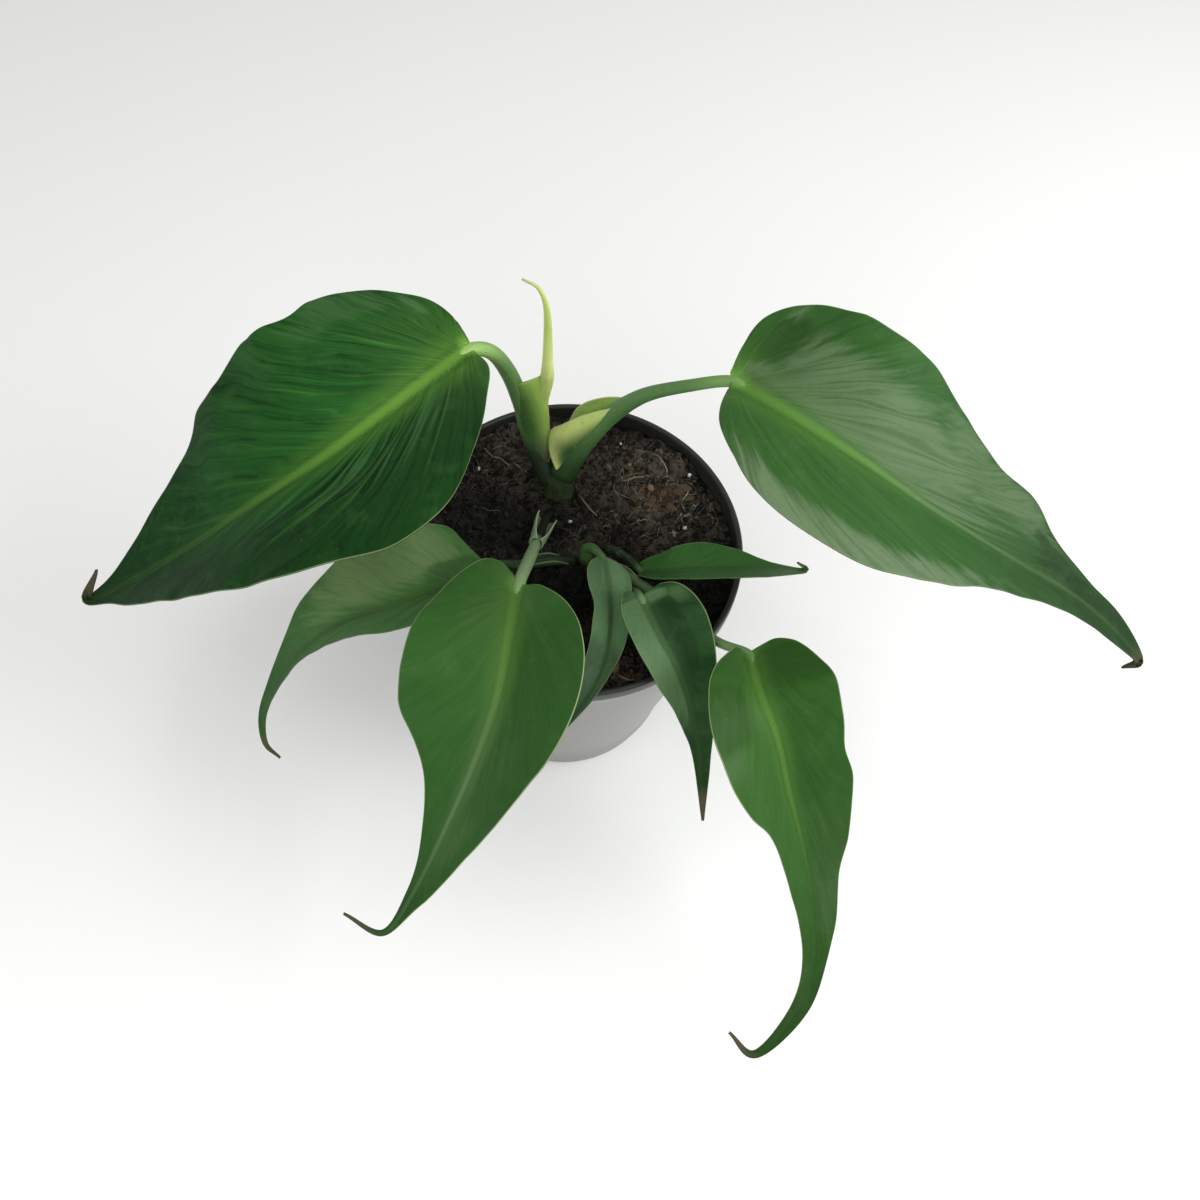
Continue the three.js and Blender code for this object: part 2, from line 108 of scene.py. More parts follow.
class Wire:
    def __init__(self, paint, socket):
        self.paint = paint
        self.socket = socket

    def maths(self, operation, *values):
        return self.paint.node("ShaderNodeMath", {"operation": operation}, dict(enumerate(values)))

    def __add__(self, other):
        return self.maths("ADD", self, other)

    def __radd__(self, other):
        return self.maths("ADD", other, self)

    def __sub__(self, other):
        return self.maths("SUBTRACT", self, other)

    def __rsub__(self, other):
        return self.maths("SUBTRACT", other, self)

    def __mul__(self, other):
        return self.maths("MULTIPLY", self, other)

    def __rmul__(self, other):
        return self.maths("MULTIPLY", other, self)

    def __truediv__(self, other):
        return self.maths("DIVIDE", self, other)

    def __rtruediv__(self, other):
        return self.maths("DIVIDE", other, self)

    def __pow__(self, other):
        return self.maths("POWER", self, other)

    def __abs__(self):
        return self.maths("ABSOLUTE", self)

    def fraction(self):
        return self.maths("FRACT", self)

    def larger(self, other):
        return self.maths("MAXIMUM", self, other)

    def rise(self, low, high):
        # 0 below low, 1 above high, and a smooth step between them
        inputs = {"Value": self, "From Min": low, "From Max": high}
        return self.paint.node("ShaderNodeMapRange", {"interpolation_type": "SMOOTHSTEP"}, inputs)

    def between(self, low, high, blur):
        return self.rise(low - blur, low + blur) * (1 - self.rise(high - blur, high + blur))


class Paint:
    def __init__(self, name):
        self.material = bpy.data.materials.new(name)
        self.material.use_nodes = True
        self.tree = self.material.node_tree
        self.tree.nodes.clear()

    def node(self, kind, settings=None, inputs=None, output=0):
        made = self.tree.nodes.new(kind)
        for key, value in (settings or {}).items():
            if key == "stops":
                self.fillRamp(made.color_ramp, value)
            else:
                setattr(made, key, value)
        for key, value in (inputs or {}).items():
            socket = made.inputs[key]
            if isinstance(value, Wire):
                self.tree.links.new(value.socket, socket)
            elif socket.type == "RGBA":
                socket.default_value = (*value, 1)
            else:
                socket.default_value = value
        return Wire(self, made.outputs[output])

    def fillRamp(self, ramp, stops):
        while len(ramp.elements) < len(stops):
            ramp.elements.new(1)
        for element, (place, colour) in zip(ramp.elements, stops):
            element.position = place
            element.color = (*colour, 1)

    def objectPlace(self):
        return self.node("ShaderNodeTexCoord", output="Object")

    def attribute(self, name):
        return self.parts(self.node("ShaderNodeAttribute", {"attribute_name": name}, output="Vector"))

    def parts(self, vector):
        return [self.node("ShaderNodeSeparateXYZ", None, {0: vector}, axis) for axis in ("X", "Y", "Z")]

    def vector(self, x=0.0, y=0.0, z=0.0):
        return self.node("ShaderNodeCombineXYZ", None, {"X": x, "Y": y, "Z": z})

    def noise(self, vector, scale, detail=3.0, roughness=0.5):
        inputs = {"Vector": vector, "Scale": scale, "Detail": detail, "Roughness": roughness}
        return self.node("ShaderNodeTexNoise", None, inputs, "Fac")

    def cells(self, vector, scale):
        # Distance to the nearest of the points scattered one to a cell
        inputs = {"Vector": vector, "Scale": scale}
        return self.node("ShaderNodeTexVoronoi", {"feature": "F1"}, inputs, "Distance")

    def mix(self, factor, first, second):
        return self.node("ShaderNodeMix", {"data_type": "RGBA"}, {0: factor, 6: first, 7: second}, 2)

    def ramp(self, factor, stops):
        return self.node("ShaderNodeValToRGB", {"stops": stops}, {"Fac": factor}, "Color")

    def bump(self, height, distance):
        return self.node("ShaderNodeBump", None, {"Height": height, "Distance": distance * mm}, "Normal")

    def finish(self, colour, roughness, normal=None, **constants):
        inputs = {"Base Color": colour, "Roughness": roughness}
        if normal is not None:
            inputs["Normal"] = normal
        inputs |= {key.replace("_", " "): value for key, value in constants.items()}
        surface = self.node("ShaderNodeBsdfPrincipled", None, inputs)
        end = self.tree.nodes.new("ShaderNodeOutputMaterial")
        self.tree.links.new(surface.socket, end.inputs["Surface"])
        return self.material
def scaled(colour, factor):
    return tuple(factor * c for c in colour)


# Meshes: a shell is one closed surface of points and faces, with two vectors at each point for its paint.


def makeShell(points, faces, material, place, grain):
    count = len(points)
    return {
        "points": np.asarray(points, float).reshape(-1, 3),
        "faces": [np.asarray(group, int) for group in faces],
        "material": material,
        "place": np.broadcast_to(place, (count, 3)),
        "grain": np.broadcast_to(grain, (count, 3)),
    }


def makePiece(name, shells, materials, replaced=()):
    offset = 0
    loops, starts, totals, slots = [], [], [], []
    used = 0
    for shell in shells:
        for group in shell["faces"]:
            size = group.shape[1]
            loops.append(group.ravel() + offset)
            starts.append(used + size * np.arange(len(group)))
            totals.append(np.full(len(group), size))
            slots.append(np.broadcast_to(shell["material"], len(group)))
            used += group.size
        offset += len(shell["points"])
    points = np.concatenate([shell["points"] for shell in shells]) * mm
    mesh = bpy.data.meshes.new(name)
    mesh.vertices.add(len(points))
    mesh.vertices.foreach_set("co", points.astype(np.float32).ravel())
    mesh.loops.add(used)
    mesh.loops.foreach_set("vertex_index", np.concatenate(loops).astype(np.int32))
    mesh.polygons.add(sum(len(group) for group in totals))
    mesh.polygons.foreach_set("loop_start", np.concatenate(starts).astype(np.int32))
    mesh.polygons.foreach_set("loop_total", np.concatenate(totals).astype(np.int32))
    mesh.polygons.foreach_set("material_index", np.concatenate(slots).astype(np.int32))
    for key in ("place", "grain"):
        values = np.concatenate([shell[key] for shell in shells]).astype(np.float32)
        mesh.attributes.new(key, "FLOAT_VECTOR", "POINT").data.foreach_set("vector", values.ravel())
    mesh.update(calc_edges=True)
    mesh.validate()
    mesh.shade_smooth()
    for material in materials:
        mesh.materials.append(material)
    piece = bpy.data.objects.new(name, mesh)
    scene.collection.objects.link(piece)
    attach(piece, "root")
    if replaced:
        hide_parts(*replaced)
    triangles = sum(group.shape[0] * (group.shape[1] - 2) for s in shells for group in s["faces"])
    print("made", name, "with", triangles, "triangles")
    return piece


def unit(vectors):
    return vectors / np.linalg.norm(vectors, axis=-1, keepdims=True)


def curveThrough(points, shares=None):
    # An even Catmull-Rom curve through the points, read at shares of its length: places, headings and length.
    points = np.array(points, float)
    spans = len(points) - 1
    ends = np.vstack([2 * points[0] - points[1], points, 2 * points[-1] - points[-2]])
    t = np.linspace(0, spans, 60 * spans + 1)
    k = np.minimum(t.astype(int), spans - 1)
    u = (t - k)[:, None]
    before, start, end, after = ends[k], ends[k + 1], ends[k + 2], ends[k + 3]
    leave, arrive = (end - before) / 2, (after - start) / 2
    dense = (2 * start - 2 * end + leave + arrive) * u**3
    dense += (3 * end - 3 * start - 2 * leave - arrive) * u**2 + leave * u + start
    arc = np.append(0, np.cumsum(np.linalg.norm(np.diff(dense, axis=0), axis=1)))
    heading = unit(np.gradient(dense, axis=0))
    reach = np.asarray(shares, float) * arc[-1]
    place = np.stack([np.interp(reach, arc, column) for column in dense.T], -1)
    heading = unit(np.stack([np.interp(reach, arc, column) for column in heading.T], -1))
    return place, heading, arc[-1]


def valueAlong(values, shares):
    # A smooth run of values spread evenly from start to end
    spread = np.linspace(0, 1, len(values))
    ends = np.column_stack([spread, values])
    place, _, _ = curveThrough(ends, np.linspace(0, 1, 400))
    return np.interp(shares, place[:, 0], place[:, 1])


def gridFaces(rows, columns, offset=0):
    i, j = np.meshgrid(np.arange(rows - 1), np.arange(columns - 1), indexing="ij")
    a = (i * columns + j).ravel() + offset
    return np.column_stack([a, a + 1, a + 1 + columns, a + columns])


def gridBorder(rows, columns):
    i, j = np.arange(rows), np.arange(columns)
    first, last = j[:-1], (rows - 1) * columns + j[:0:-1]
    return np.concatenate([first, i[:-1] * columns + columns - 1, last, i[:0:-1] * columns])
def tubeFaces(steps, sides):
    # Quads between the rings of a tube and a fan at each end; the two poles come after the rings.
    k = np.arange(sides)
    following = (k + 1) % sides
    row = np.arange(steps)[:, None] * sides
    quads = np.stack([row + k, row + sides + k, row + sides + following, row + following], -1)
    last, pole = steps * sides, np.full(sides, (steps + 1) * sides)
    fans = [np.column_stack([pole, k, following]), np.column_stack([pole + 1, last + following, last + k])]
    return [quads.reshape(-1, 4), np.concatenate(fans)]


def ringPoints(centre, side, up, radius, angle):
    # A ring round each place of a path: centre + radius * (cos(angle) * side + sin(angle) * up).
    ring = np.cos(angle)[:, None] * side[..., None, :] + np.sin(angle)[:, None] * up[..., None, :]
    return centre[..., None, :] + radius[..., None] * ring


def sheetShell(points, thickness, material, place, grain):
    # Two faces half a thickness either side of a grid of points, joined round the border.
    rows, columns, _ = points.shape
    normal = unit(np.cross(np.gradient(points, axis=1), np.gradient(points, axis=0)))
    half = normal * np.asarray(thickness)[..., None] / 2
    layer = rows * columns
    top = gridFaces(rows, columns)
    border = gridBorder(rows, columns)
    following = np.roll(border, -1)
    rim = np.column_stack([border, layer + border, layer + following, following])
    both = np.concatenate([(points + half).reshape(-1, 3), (points - half).reshape(-1, 3)])
    under = grain.reshape(-1, 3).copy()
    under[:, 2] = 0  # the third value of grain is 1 on the upper face and 0 on the lower
    doubled = [np.concatenate([place.reshape(-1, 3)] * 2), np.concatenate([grain.reshape(-1, 3), under])]
    return makeShell(both, [top, top[:, ::-1] + layer, rim], material, *doubled)


def barShell(path, radii, material, sides, steps, across=None, ridges=None, tint=0.0):
    # A round bar along a curve: rings of the radius at each step, closed by a point at either end.
    # ridges(u, angle) is an extra share of the radius, as an array.
    shares = np.linspace(0, 1, steps + 1)
    centre, heading, length = curveThrough(path, shares)
    if across is None:
        across = np.cross(centre[-1] - centre[0], [0, 0, 1])
    side = unit(across - (heading @ np.asarray(across, float))[:, None] * heading)
    up = np.cross(side, heading)
    angle = np.linspace(0, 2 * np.pi, sides, endpoint=False)
    radius = np.asarray(valueAlong(radii, shares))[:, None] * np.ones(sides)
    if ridges is not None:
        radius = radius * (1 + ridges(shares[:, None], angle))
    rings = ringPoints(centre, side, up, radius, angle)
    nose = 0.6 * radius[[0, -1], 0][:, None] * heading[[0, -1]]
    poles = [centre[0] - nose[0], centre[-1] + nose[1]]
    points = np.concatenate([rings.reshape(-1, 3), poles])
    place = np.stack(np.broadcast_arrays(shares[:, None], angle / (2 * np.pi), tint), -1).reshape(-1, 3)
    place = np.concatenate([place, [[0, 0, tint], [1, 0, tint]]])
    grain = np.stack(np.broadcast_arrays(shares[:, None] * length, np.cos(angle), np.sin(angle)), -1)
    grain = np.concatenate([grain.reshape(-1, 3), [[0, 0, 0], [length, 0, 0]]])
    return makeShell(points, tubeFaces(steps, sides), material, place, grain)


# Leaves: each is a blade hung on its midrib, a stalk that runs on under it as a rib, and for most a sheath.

bladeSlot, stalkSlot, sheathSlot = 0, 1, 2  # a leaf's three materials

bladeSettings = {
    "veinLag": 2.2,  # how much nearer the junction a side vein starts than it ends
    "veinSweep": 1.6,  # above 1 a side vein leaves along the midrib and turns out to the margin
    "thickness": (0.75, 0.3),  # at the midrib and at the margin
    "lastColumn": 0.985,  # the grid's last column before the margin, near it for a crisp rim
    "creaseWidth": 2.4,  # the fold along the midrib is rounded over this width
    "camber": -0.006,
    "ribShares": (0.04, 0.12, 0.22, 0.34, 0.46, 0.58, 0.7),  # places of the rib's radii along the midrib
    "ribRadii": (0.85, 0.68, 0.54, 0.44, 0.36, 0.3, 0.2),  # as shares of the stalk's last radius
    "edgeColour": (0.30, 0.40, 0.17),
    "fleckColour": (0.16, 0.22, 0.12),
    # furrowColour is a painted highlight, on the ridges between the painted dark furrows.
    "furrowColour": (0.055, 0.12, 0.052),  # the pale ridges between the furrows
    "dryColours": ((0.045, 0.036, 0.02), (0.14, 0.115, 0.075)),
    "underVeinColour": (0.12, 0.22, 0.08),
}

# Millimetres in the part's frame. midrib and petiole are places, left and right are the margins in the
# blade's own plane (along the midrib, out from it), and fold has start and end degrees for each half.
# A sheath's left and right are how many degrees its wings reach round, from foot to top.
leafSettings = {
    "leaf_back_left": {
        "grid": (240, 30),
        "midrib": [
            (-39, 28, 175), (-56, -1, 181), (-75, -21, 176), (-98, -32, 160), (-123, -39, 137),
            (-157, -46, 110), (-156, -38, 117),
        ],
        "face": (0, 0, 1), "fold": ((18, 20), (20, 22)),
        "left": [
            (1, 2), (6, 12), (20, 22), (35, 34), (47, 43), (58, 45), (68, 40), (86, 35), (108, 27),
            (130, 19), (148, 12), (165, 4), (185, 0.5),
        ],
        "right": [
            (-1, 2), (-4, 14), (0, 26), (14, 39), (30, 45), (42, 44), (55, 48), (80, 50), (92, 45),
            (104, 42), (110, 35), (123, 27), (138, 18), (161, 6), (185, 0.5),
        ],
        "petiole": [
            (-11, 23.5, 112.5), (-15.5, 28, 118), (-21, 34, 127), (-24, 35, 141), (-28, 34, 157),
            (-33, 31, 170), (-39, 28, 175),
        ],
        "petioleRadius": (4.2, 3.6, 3.1, 3, 2.9, 2.6, 2.3),
        "sheath": {
            "from": 0.05, "to": 0.635, "open": (1, 0.35, 0), "wide": (3.6, 4.4, 5.2, 5.6, 6.2, 7.2),
            "deep": (3.2, 3.5, 3.9, 3.8, 3.2, 2.4), "left": (70, 150, 168, 170, 168, 128),
            "right": (70, 110, 120, 100, 60, 30),
        },
        "slot": "leaf_dark", "wave": 1.0, "veinLag": 3.0, "veinSweep": 1.3,
    },
    "leaf_right": {
        "grid": (240, 30),
        "midrib": [
            (44, 26, 178), (62, 11, 184), (85, -1, 181), (111, -6, 167), (141, -9, 150), (170, -12, 134),
            (195, -21, 118), (192, -23, 112),
        ],
        "face": (0, 0, 1), "fold": ((24, 24), (20, 20)),
        "left": [
            (-2, 2), (-5, 12), (-6, 24), (1, 35), (12, 41), (38, 43), (64, 42), (80, 35), (98, 27),
            (118, 23), (130, 15), (148, 8), (165, 6), (188, 0.5),
        ],
        "right": [
            (2, 2), (7, 11), (17, 24), (32, 37), (46, 41), (60, 40), (82, 31), (105, 20), (129, 13),
            (152, 8), (170, 5), (188, 0.5),
        ],
        "petiole": [
            (-7.3, 23.5, 116.5), (-4.8, 27, 122), (0, 31, 130.5), (8, 34, 142), (18, 32, 157),
            (32, 28, 170), (44, 26, 178),
        ],
        "petioleRadius": (4.8, 4.3, 3.4, 2.8, 2.3, 2, 1.9),
        "sheath": {
            "from": 0.02, "to": 0.446, "open": (-0.6, 0.75, 0.3), "wide": (5, 7.8, 8, 6.8, 5, 3.4),
            "deep": (4.4, 4.9, 5, 4.3, 3.2, 2.2), "left": (60, 120, 140, 160, 160, 130),
            "right": (80, 150, 118, 105, 95, 85),
        },
        "slot": "leaf_middle", "wave": 0.6, "veinLag": 4.5, "veinSweep": 1.15,
    },
    "leaf_front": {
        "grid": (220, 28),
        "midrib": [
            (-15, -33, 135), (-15, -55, 138), (-16, -73, 132), (-21, -89, 116), (-28, -105, 98),
            (-36, -122, 82), (-45, -134, 70), (-60, -128, 64),
        ],
        "face": (-0.28, -0.3, 1), "fold": ((18, 22), (20, 22)),
        "left": [
            (1, 2), (3, 9), (13, 20), (23, 27), (34, 29), (48, 26), (60, 22), (78, 17), (98, 11), (114, 6),
            (129, 1.5), (152, 0.5),
        ],
        "right": [
            (-2, 2), (-8, 7), (-8, 14), (2, 23), (18, 31), (34, 33), (50, 32), (58, 29), (66, 21), (78, 13),
            (98, 6), (116, 2.5), (152, 0.5),
        ],
        "petiole": [
            (-9.5, 14, 107), (-11, 7.5, 111), (-12, -2, 115.5), (-13.5, -18, 125.5), (-14.5, -28, 132),
            (-15, -33, 135),
        ],
        "petioleRadius": (1.7, 1.4, 1.7, 2.1, 2.1, 2),
        "sheath": {
            "from": 0.14, "to": 0.47, "open": (0.2, -0.3, 1), "wide": (2.6, 2.5, 2.4, 2.2),
            "deep": (3.6, 3.2, 2.7, 2.2), "left": (105, 115, 130, 165), "right": (105, 115, 130, 165),
        },
        "slot": "leaf_middle", "wave": 0.5, "veinLag": 3.4, "veinSweep": 1.3,
    },
    "leaf_left": {
        "grid": (180, 24),
        "midrib": [
            (-29, -14, 112), (-42, -28, 118), (-57, -35, 113), (-73, -37, 102), (-86, -41, 90),
            (-97, -47, 76), (-105, -57, 60), (-105, -65, 48), (-99, -69, 44),
        ],
        "face": (-0.15, 0, 1), "fold": ((26, 30), (16, 20)),
        "left": [
            (1, 2), (8, 8), (17, 14), (30, 15), (45, 13), (62, 10), (78, 6), (95, 4), (112, 2.5),
            (138, 0.5),
        ],
        "right": [
            (0, 2), (1, 10), (2, 20), (10, 26), (24, 29), (40, 29), (55, 25), (66, 20), (78, 15), (92, 7),
            (108, 3), (138, 0.5),
        ],
        "petiole": [(1, -6, 107.5), (-7, -9, 111), (-16, -12.5, 112.5), (-23, -14, 113), (-29, -14, 112)],
        "petioleRadius": (2, 1.8, 1.6, 1.6, 1.5),
        "sheath": {
            "from": 0.1, "to": 0.6, "open": (0, 0.5, 1), "wide": (2.2, 2.6, 2.6, 2),
            "deep": (2.2, 2.6, 2.6, 2), "left": (80, 100, 95, 85), "right": (80, 100, 95, 85),
        },
        "slot": "leaf_middle", "wave": 0.5,
    },
    "leaf_centre_small": {
        "grid": (120, 16),
        "midrib": [
            (11, -6, 113), (14, -20, 119), (16, -33, 121), (16, -47, 120), (12, -61, 118), (2, -75, 108),
        ],
        "face": (0, -0.3, 1), "fold": ((18, 26), (30, 30)), "camber": -0.01,
        "left": [(0, 1), (6, 5), (15, 8), (24, 7.5), (38, 6), (50, 3.5), (62, 2), (79, 0.5)],
        "right": [
            (-1, 1), (3, 5), (9, 7.5), (17, 8), (25, 6.5), (34, 7), (48, 7), (60, 5.5), (70, 3), (79, 0.5),
        ],
        "petiole": [(4.5, -4.5, 106.5), (4.5, -2.5, 110.5), (7, -3, 113), (11, -6, 113)],
        "petioleRadius": (2, 2, 1.7, 1.3), "slot": "leaf_fresh", "wave": 0.2,
    },
    "leaf_middle_right": {
        "grid": (130, 18),
        "midrib": [
            (25, -27, 126), (33, -39, 123), (40, -46, 115), (47, -55, 102), (52, -65, 89), (57, -82, 72),
        ],
        "face": (0, -0.3, 1), "fold": ((12, 22), (26, 30)), "camber": -0.01,
        "left": [
            (0, 1.5), (-1, 8), (2, 14), (9, 17), (19, 17), (30, 13.5), (44, 9), (60, 5), (72, 3), (87, 0.5),
        ],
        "right": [
            (0, 1), (-3, 3), (-3, 6), (3, 9.5), (14, 10.5), (28, 10), (40, 7), (52, 4.5), (62, 2.5),
            (87, 0.5),
        ],
        "petiole": [
            (8.5, -9.5, 106.5), (12, -14.5, 110.5), (17, -18, 113), (23, -20.5, 117), (25, -27, 126),
        ],
        "petioleRadius": (1.9, 1.8, 1.6, 1.5, 1.4), "slot": "leaf_fresh", "wave": 0.3,
    },
    "leaf_front_right": {
        "grid": (220, 26),
        "midrib": [
            (63, -39, 119), (67, -57, 125), (74, -68, 118), (81, -79, 103), (90, -91, 84), (97, -104, 67),
            (101, -120, 52), (98, -135, 40), (86, -150, 32), (76, -145, 35),
        ],
        "face": (0, -0.3, 1), "fold": ((18, 22), (26, 22)),
        "left": [
            (0, 1.5), (-1, 5), (-3, 10), (1, 17), (10, 22), (22, 25), (33, 23), (42, 21), (54, 22),
            (66, 19.5), (79, 15.5), (92, 10.5), (109, 8), (124, 5), (146, 4), (177, 0.5),
        ],
        "right": [
            (-1, 2), (-2, 5), (1, 8), (9, 14), (18, 19), (27, 23), (43, 21), (56, 17), (66, 12), (78, 10),
            (96, 8), (112, 5.5), (140, 2.5), (177, 0.5),
        ],
        "petiole": [
            (10.5, -4, 107), (15, -8, 110.5), (20, -12, 112), (29, -18, 114), (43, -28.5, 115.5),
            (53, -35, 116), (63, -39, 119),
        ],
        "petioleRadius": (2.1, 2, 1.9, 1.8, 1.8, 1.6, 1.6),
        "sheath": {
            "from": 0.12, "to": 0.26, "open": (-0.2, 0.5, 1), "wide": (2.4, 2.7, 2.3),
            "deep": (2.4, 2.7, 2.3), "left": (90, 90, 80), "right": (90, 90, 80),
        },
        "slot": "leaf_fresh", "wave": 0.4, "veinLag": 3.4, "veinSweep": 1.3,
    },
    "leaf_right_small": {
        "grid": (120, 16),
        "midrib": [
            (25, -9, 112), (33, -11, 119), (44, -11, 123), (58, -9, 123), (70, -6, 120), (81, -2, 115),
            (78, -1, 118),
        ],
        "face": (0, 0.35, 1), "fold": ((24, 28), (22, 25)), "camber": -0.01,
        "left": [(-2, 1), (-3, 5), (4, 8.5), (13, 10), (24, 10.5), (37, 7.5), (49, 3), (67, 0.5)],
        "right": [(1, 1), (3, 6), (9, 10), (20, 10), (33, 9), (46, 7), (57, 3.5), (67, 0.5)],
        "petiole": [(8.5, 0.5, 107), (13.5, -1, 110.5), (19.5, -4.5, 112), (25, -9, 112)],
        "petioleRadius": (1.7, 1.6, 1.4, 1.2), "slot": "leaf_fresh", "wave": 0.2,
    },
}


def midribFrame(leaf, along):
    # Place, heading, upper and right-hand directions of the midrib at distances from the junction.
    _, _, length = curveThrough(leaf["midrib"], [0])
    share = np.clip(along / length, 0, 1)
    place, heading, _ = curveThrough(leaf["midrib"], share)
    face = np.array(leaf["face"], float)
    up = unit(face - (heading @ face)[..., None] * heading)
    place = place + heading * (along - share * length)[..., None]
    return share, place, heading, up, np.cross(heading, up)


def bladePoints(leaf, hand, along, out):
    # Each half rises from the midrib by its fold angle, rounded at the crease, and bends down by its camber.
    share, place, _, up, side = midribFrame(leaf, along)
    start, end = leaf["fold"][0 if hand < 0 else 1]
    fold = np.radians(start + (end - start) * share)
    crease = bladeSettings["creaseWidth"]
    lift = (np.hypot(out, crease) - crease) * np.sin(fold)
    lift += 0.5 * leaf.get("camber", bladeSettings["camber"]) * out**2
    return place + side * (hand * out * np.cos(fold))[..., None] + up * lift[..., None]


def halfWidthAt(margin, x):
    # The margin's distance from the midrib, level with a place; behind the lobe it stays the lobe's.
    steps = 300
    points, _, _ = curveThrough(margin, np.linspace(0, 1, steps))
    back = np.argmin(points[:steps // 5, 0])
    return np.interp(x, points[back:, 0], points[back:, 1])


def bladeShell(leaf, number):
    # Grid rows are side veins: one starts on the midrib at length * r^veinLag and ends at r of the margin.
    # Along it s goes from 0 to 1: x = start + (end - start) * (sweep * s - (sweep - 1) * s^2), y = end * s.
    rows, columns = leaf["grid"]
    r = np.linspace(0, 1, rows + 1)
    s = np.append(np.linspace(0, bladeSettings["lastColumn"], columns), 1)
    _, _, length = curveThrough(leaf["midrib"], [0])
    start = length * r ** leaf.get("veinLag", bladeSettings["veinLag"])
    sweep = leaf.get("veinSweep", bladeSettings["veinSweep"])
    halves = []
    for hand, margin in ((-1, leaf["left"]), (1, leaf["right"])):
        end, _, _ = curveThrough(margin, r)
        x = start[:, None] + (end[:, :1] - start[:, None]) * (sweep * s - (sweep - 1) * s**2)
        y = end[:, 1:] * s
        points = bladePoints(leaf, hand, x, y)
        ripple = np.sin(2 * np.pi * (r * 7 + 0.31 * number)) + 0.6 * np.sin(2 * np.pi * (r * 13 + hand * 0.2))
        calm = np.sin(np.pi * np.clip(r * 1.1, 0, 1)) ** 0.7
        points[..., 2] += leaf["wave"] * 0.5 * (ripple * calm)[:, None] * s**3
        toMargin = (1 - s) * np.hypot(end[:, :1] - start[:, None], end[:, 1:])
        place = np.stack([r[:, None] + 0 * x, hand * y / halfWidthAt(margin, x), toMargin], -1)
        grain = np.stack([x, hand * y, np.ones_like(x)], -1)
        halves.append((points, place, grain))
    left, right = halves
    points, place, grain = [np.concatenate([a[:, :0:-1], b], 1) for a, b in zip(left, right)]
    share = np.abs(place[..., 1])
    middle, margin = bladeSettings["thickness"]
    return sheetShell(points, middle + (margin - middle) * share**2, bladeSlot, place, grain)


def stalkShell(leaf):
    # The petiole runs on as a rib under the blade, so that both are one tapering bar.
    radii = leaf["petioleRadius"]
    _, _, length = curveThrough(leaf["midrib"], [0])
    along = length * np.array(bladeSettings["ribShares"])
    _, place, _, up, _ = midribFrame(leaf, along)
    ribRadii = radii[-1] * np.array(bladeSettings["ribRadii"])
    ribs = place - up * (0.92 * ribRadii)[:, None]
    _, junction, _, up, _ = midribFrame(leaf, np.zeros(1))
    path = [*leaf["petiole"][:-1], *(junction - 0.45 * radii[-1] * up), *ribs]
    petioleArc = curveThrough(leaf["petiole"], [0])[2]
    reach = np.concatenate([np.linspace(0, 1, len(radii)) * petioleArc, petioleArc + along])
    even = np.linspace(0, reach[-1], 24)
    widths = np.interp(even, reach, [*radii, *ribRadii])
    shell = barShell(path, widths, stalkSlot, sides=28, steps=150, across=leafAcross(leaf))
    shell["place"] = shell["place"].copy()
    shell["place"][:, 2] = np.clip(shell["grain"][:, 0] / petioleArc, 0, 1.2)
    return shell


def leafAcross(leaf):
    start, end = np.array(leaf["petiole"][0], float), np.array(leaf["midrib"][2], float)
    return np.cross(end - start, [0, 0, 1])


def sheathShell(leaf):
    # An oval trough round part of the petiole: its wings reach round from the back and round off at the top.
    sheath = leaf["sheath"]
    rows, columns = 72, 56
    share = np.linspace(0, 1, rows + 1)
    u = sheath["from"] + (sheath["to"] - sheath["from"]) * share
    centre, heading, _ = curveThrough(leaf["petiole"], u)
    mouth = np.array(sheath["open"], float)
    mouth = unit(mouth - (heading @ mouth)[:, None] * heading)
    side = np.cross(heading, mouth)
    wide, deep = valueAlong(sheath["wide"], share), valueAlong(sheath["deep"], share)
    stalk = np.interp(u, np.linspace(0, 1, len(leaf["petioleRadius"])), leaf["petioleRadius"])
    centre = centre + mouth * (wide - 0.8 * stalk)[:, None]
    across = np.linspace(-1, 1, columns + 1)
    left, right = valueAlong(sheath["left"], share), valueAlong(sheath["right"], share)
    angle = np.radians(np.where(across < 0, left[:, None], right[:, None]) * across)
    points = centre[:, None] - mouth[:, None] * (wide[:, None] * np.cos(angle))[..., None]
    points = points + side[:, None] * (deep[:, None] * np.sin(angle))[..., None]
    place = np.stack(np.broadcast_arrays(share[:, None], across, 0.0), -1)
    grain = np.stack(np.broadcast_arrays(share[:, None], wide[:, None] * angle, 1.0), -1)
    thickness = 0.85 - 0.5 * np.abs(across) ** 3 + 0 * share[:, None]
    return sheetShell(points, thickness, sheathSlot, place, grain)


# Greens of the blades. Colours are linear. deep and light are the two tones, far is the tone near the tip,
# rib to ribEnd is the midrib's colour, ribWidth its width at both ends in millimetres, and edge how pale the
# left and right margins are. tip is where the dry end starts, knot the pale spot at the junction, folds how
# strongly painted shade darkens the pleats' grooves and a painted highlight lightens their ridges, streak how
# far the patches' edges are drawn out along the veins.
# A patch of sheen (a painted reflection), shade (painted shade, in places also the leaf's own darker tone) or
# furrows (painted shade in the grooves, a painted highlight on the ridges) lies along the leaf, by the root
# of the share of its length, and across it from -1 at the left margin to 1 at the right: low, high and blur,
# then a strength.

bladeDefaults = {
    "veins": 12, "veinLight": 0.12, "relief": 0.12, "under": (0.075, 0.16, 0.05), "tip": 0.95, "gloss": 0.2,
    "ribTaper": 1.2, "knot": 0.3, "streak": 0.9, "roughness": 0.48,
}

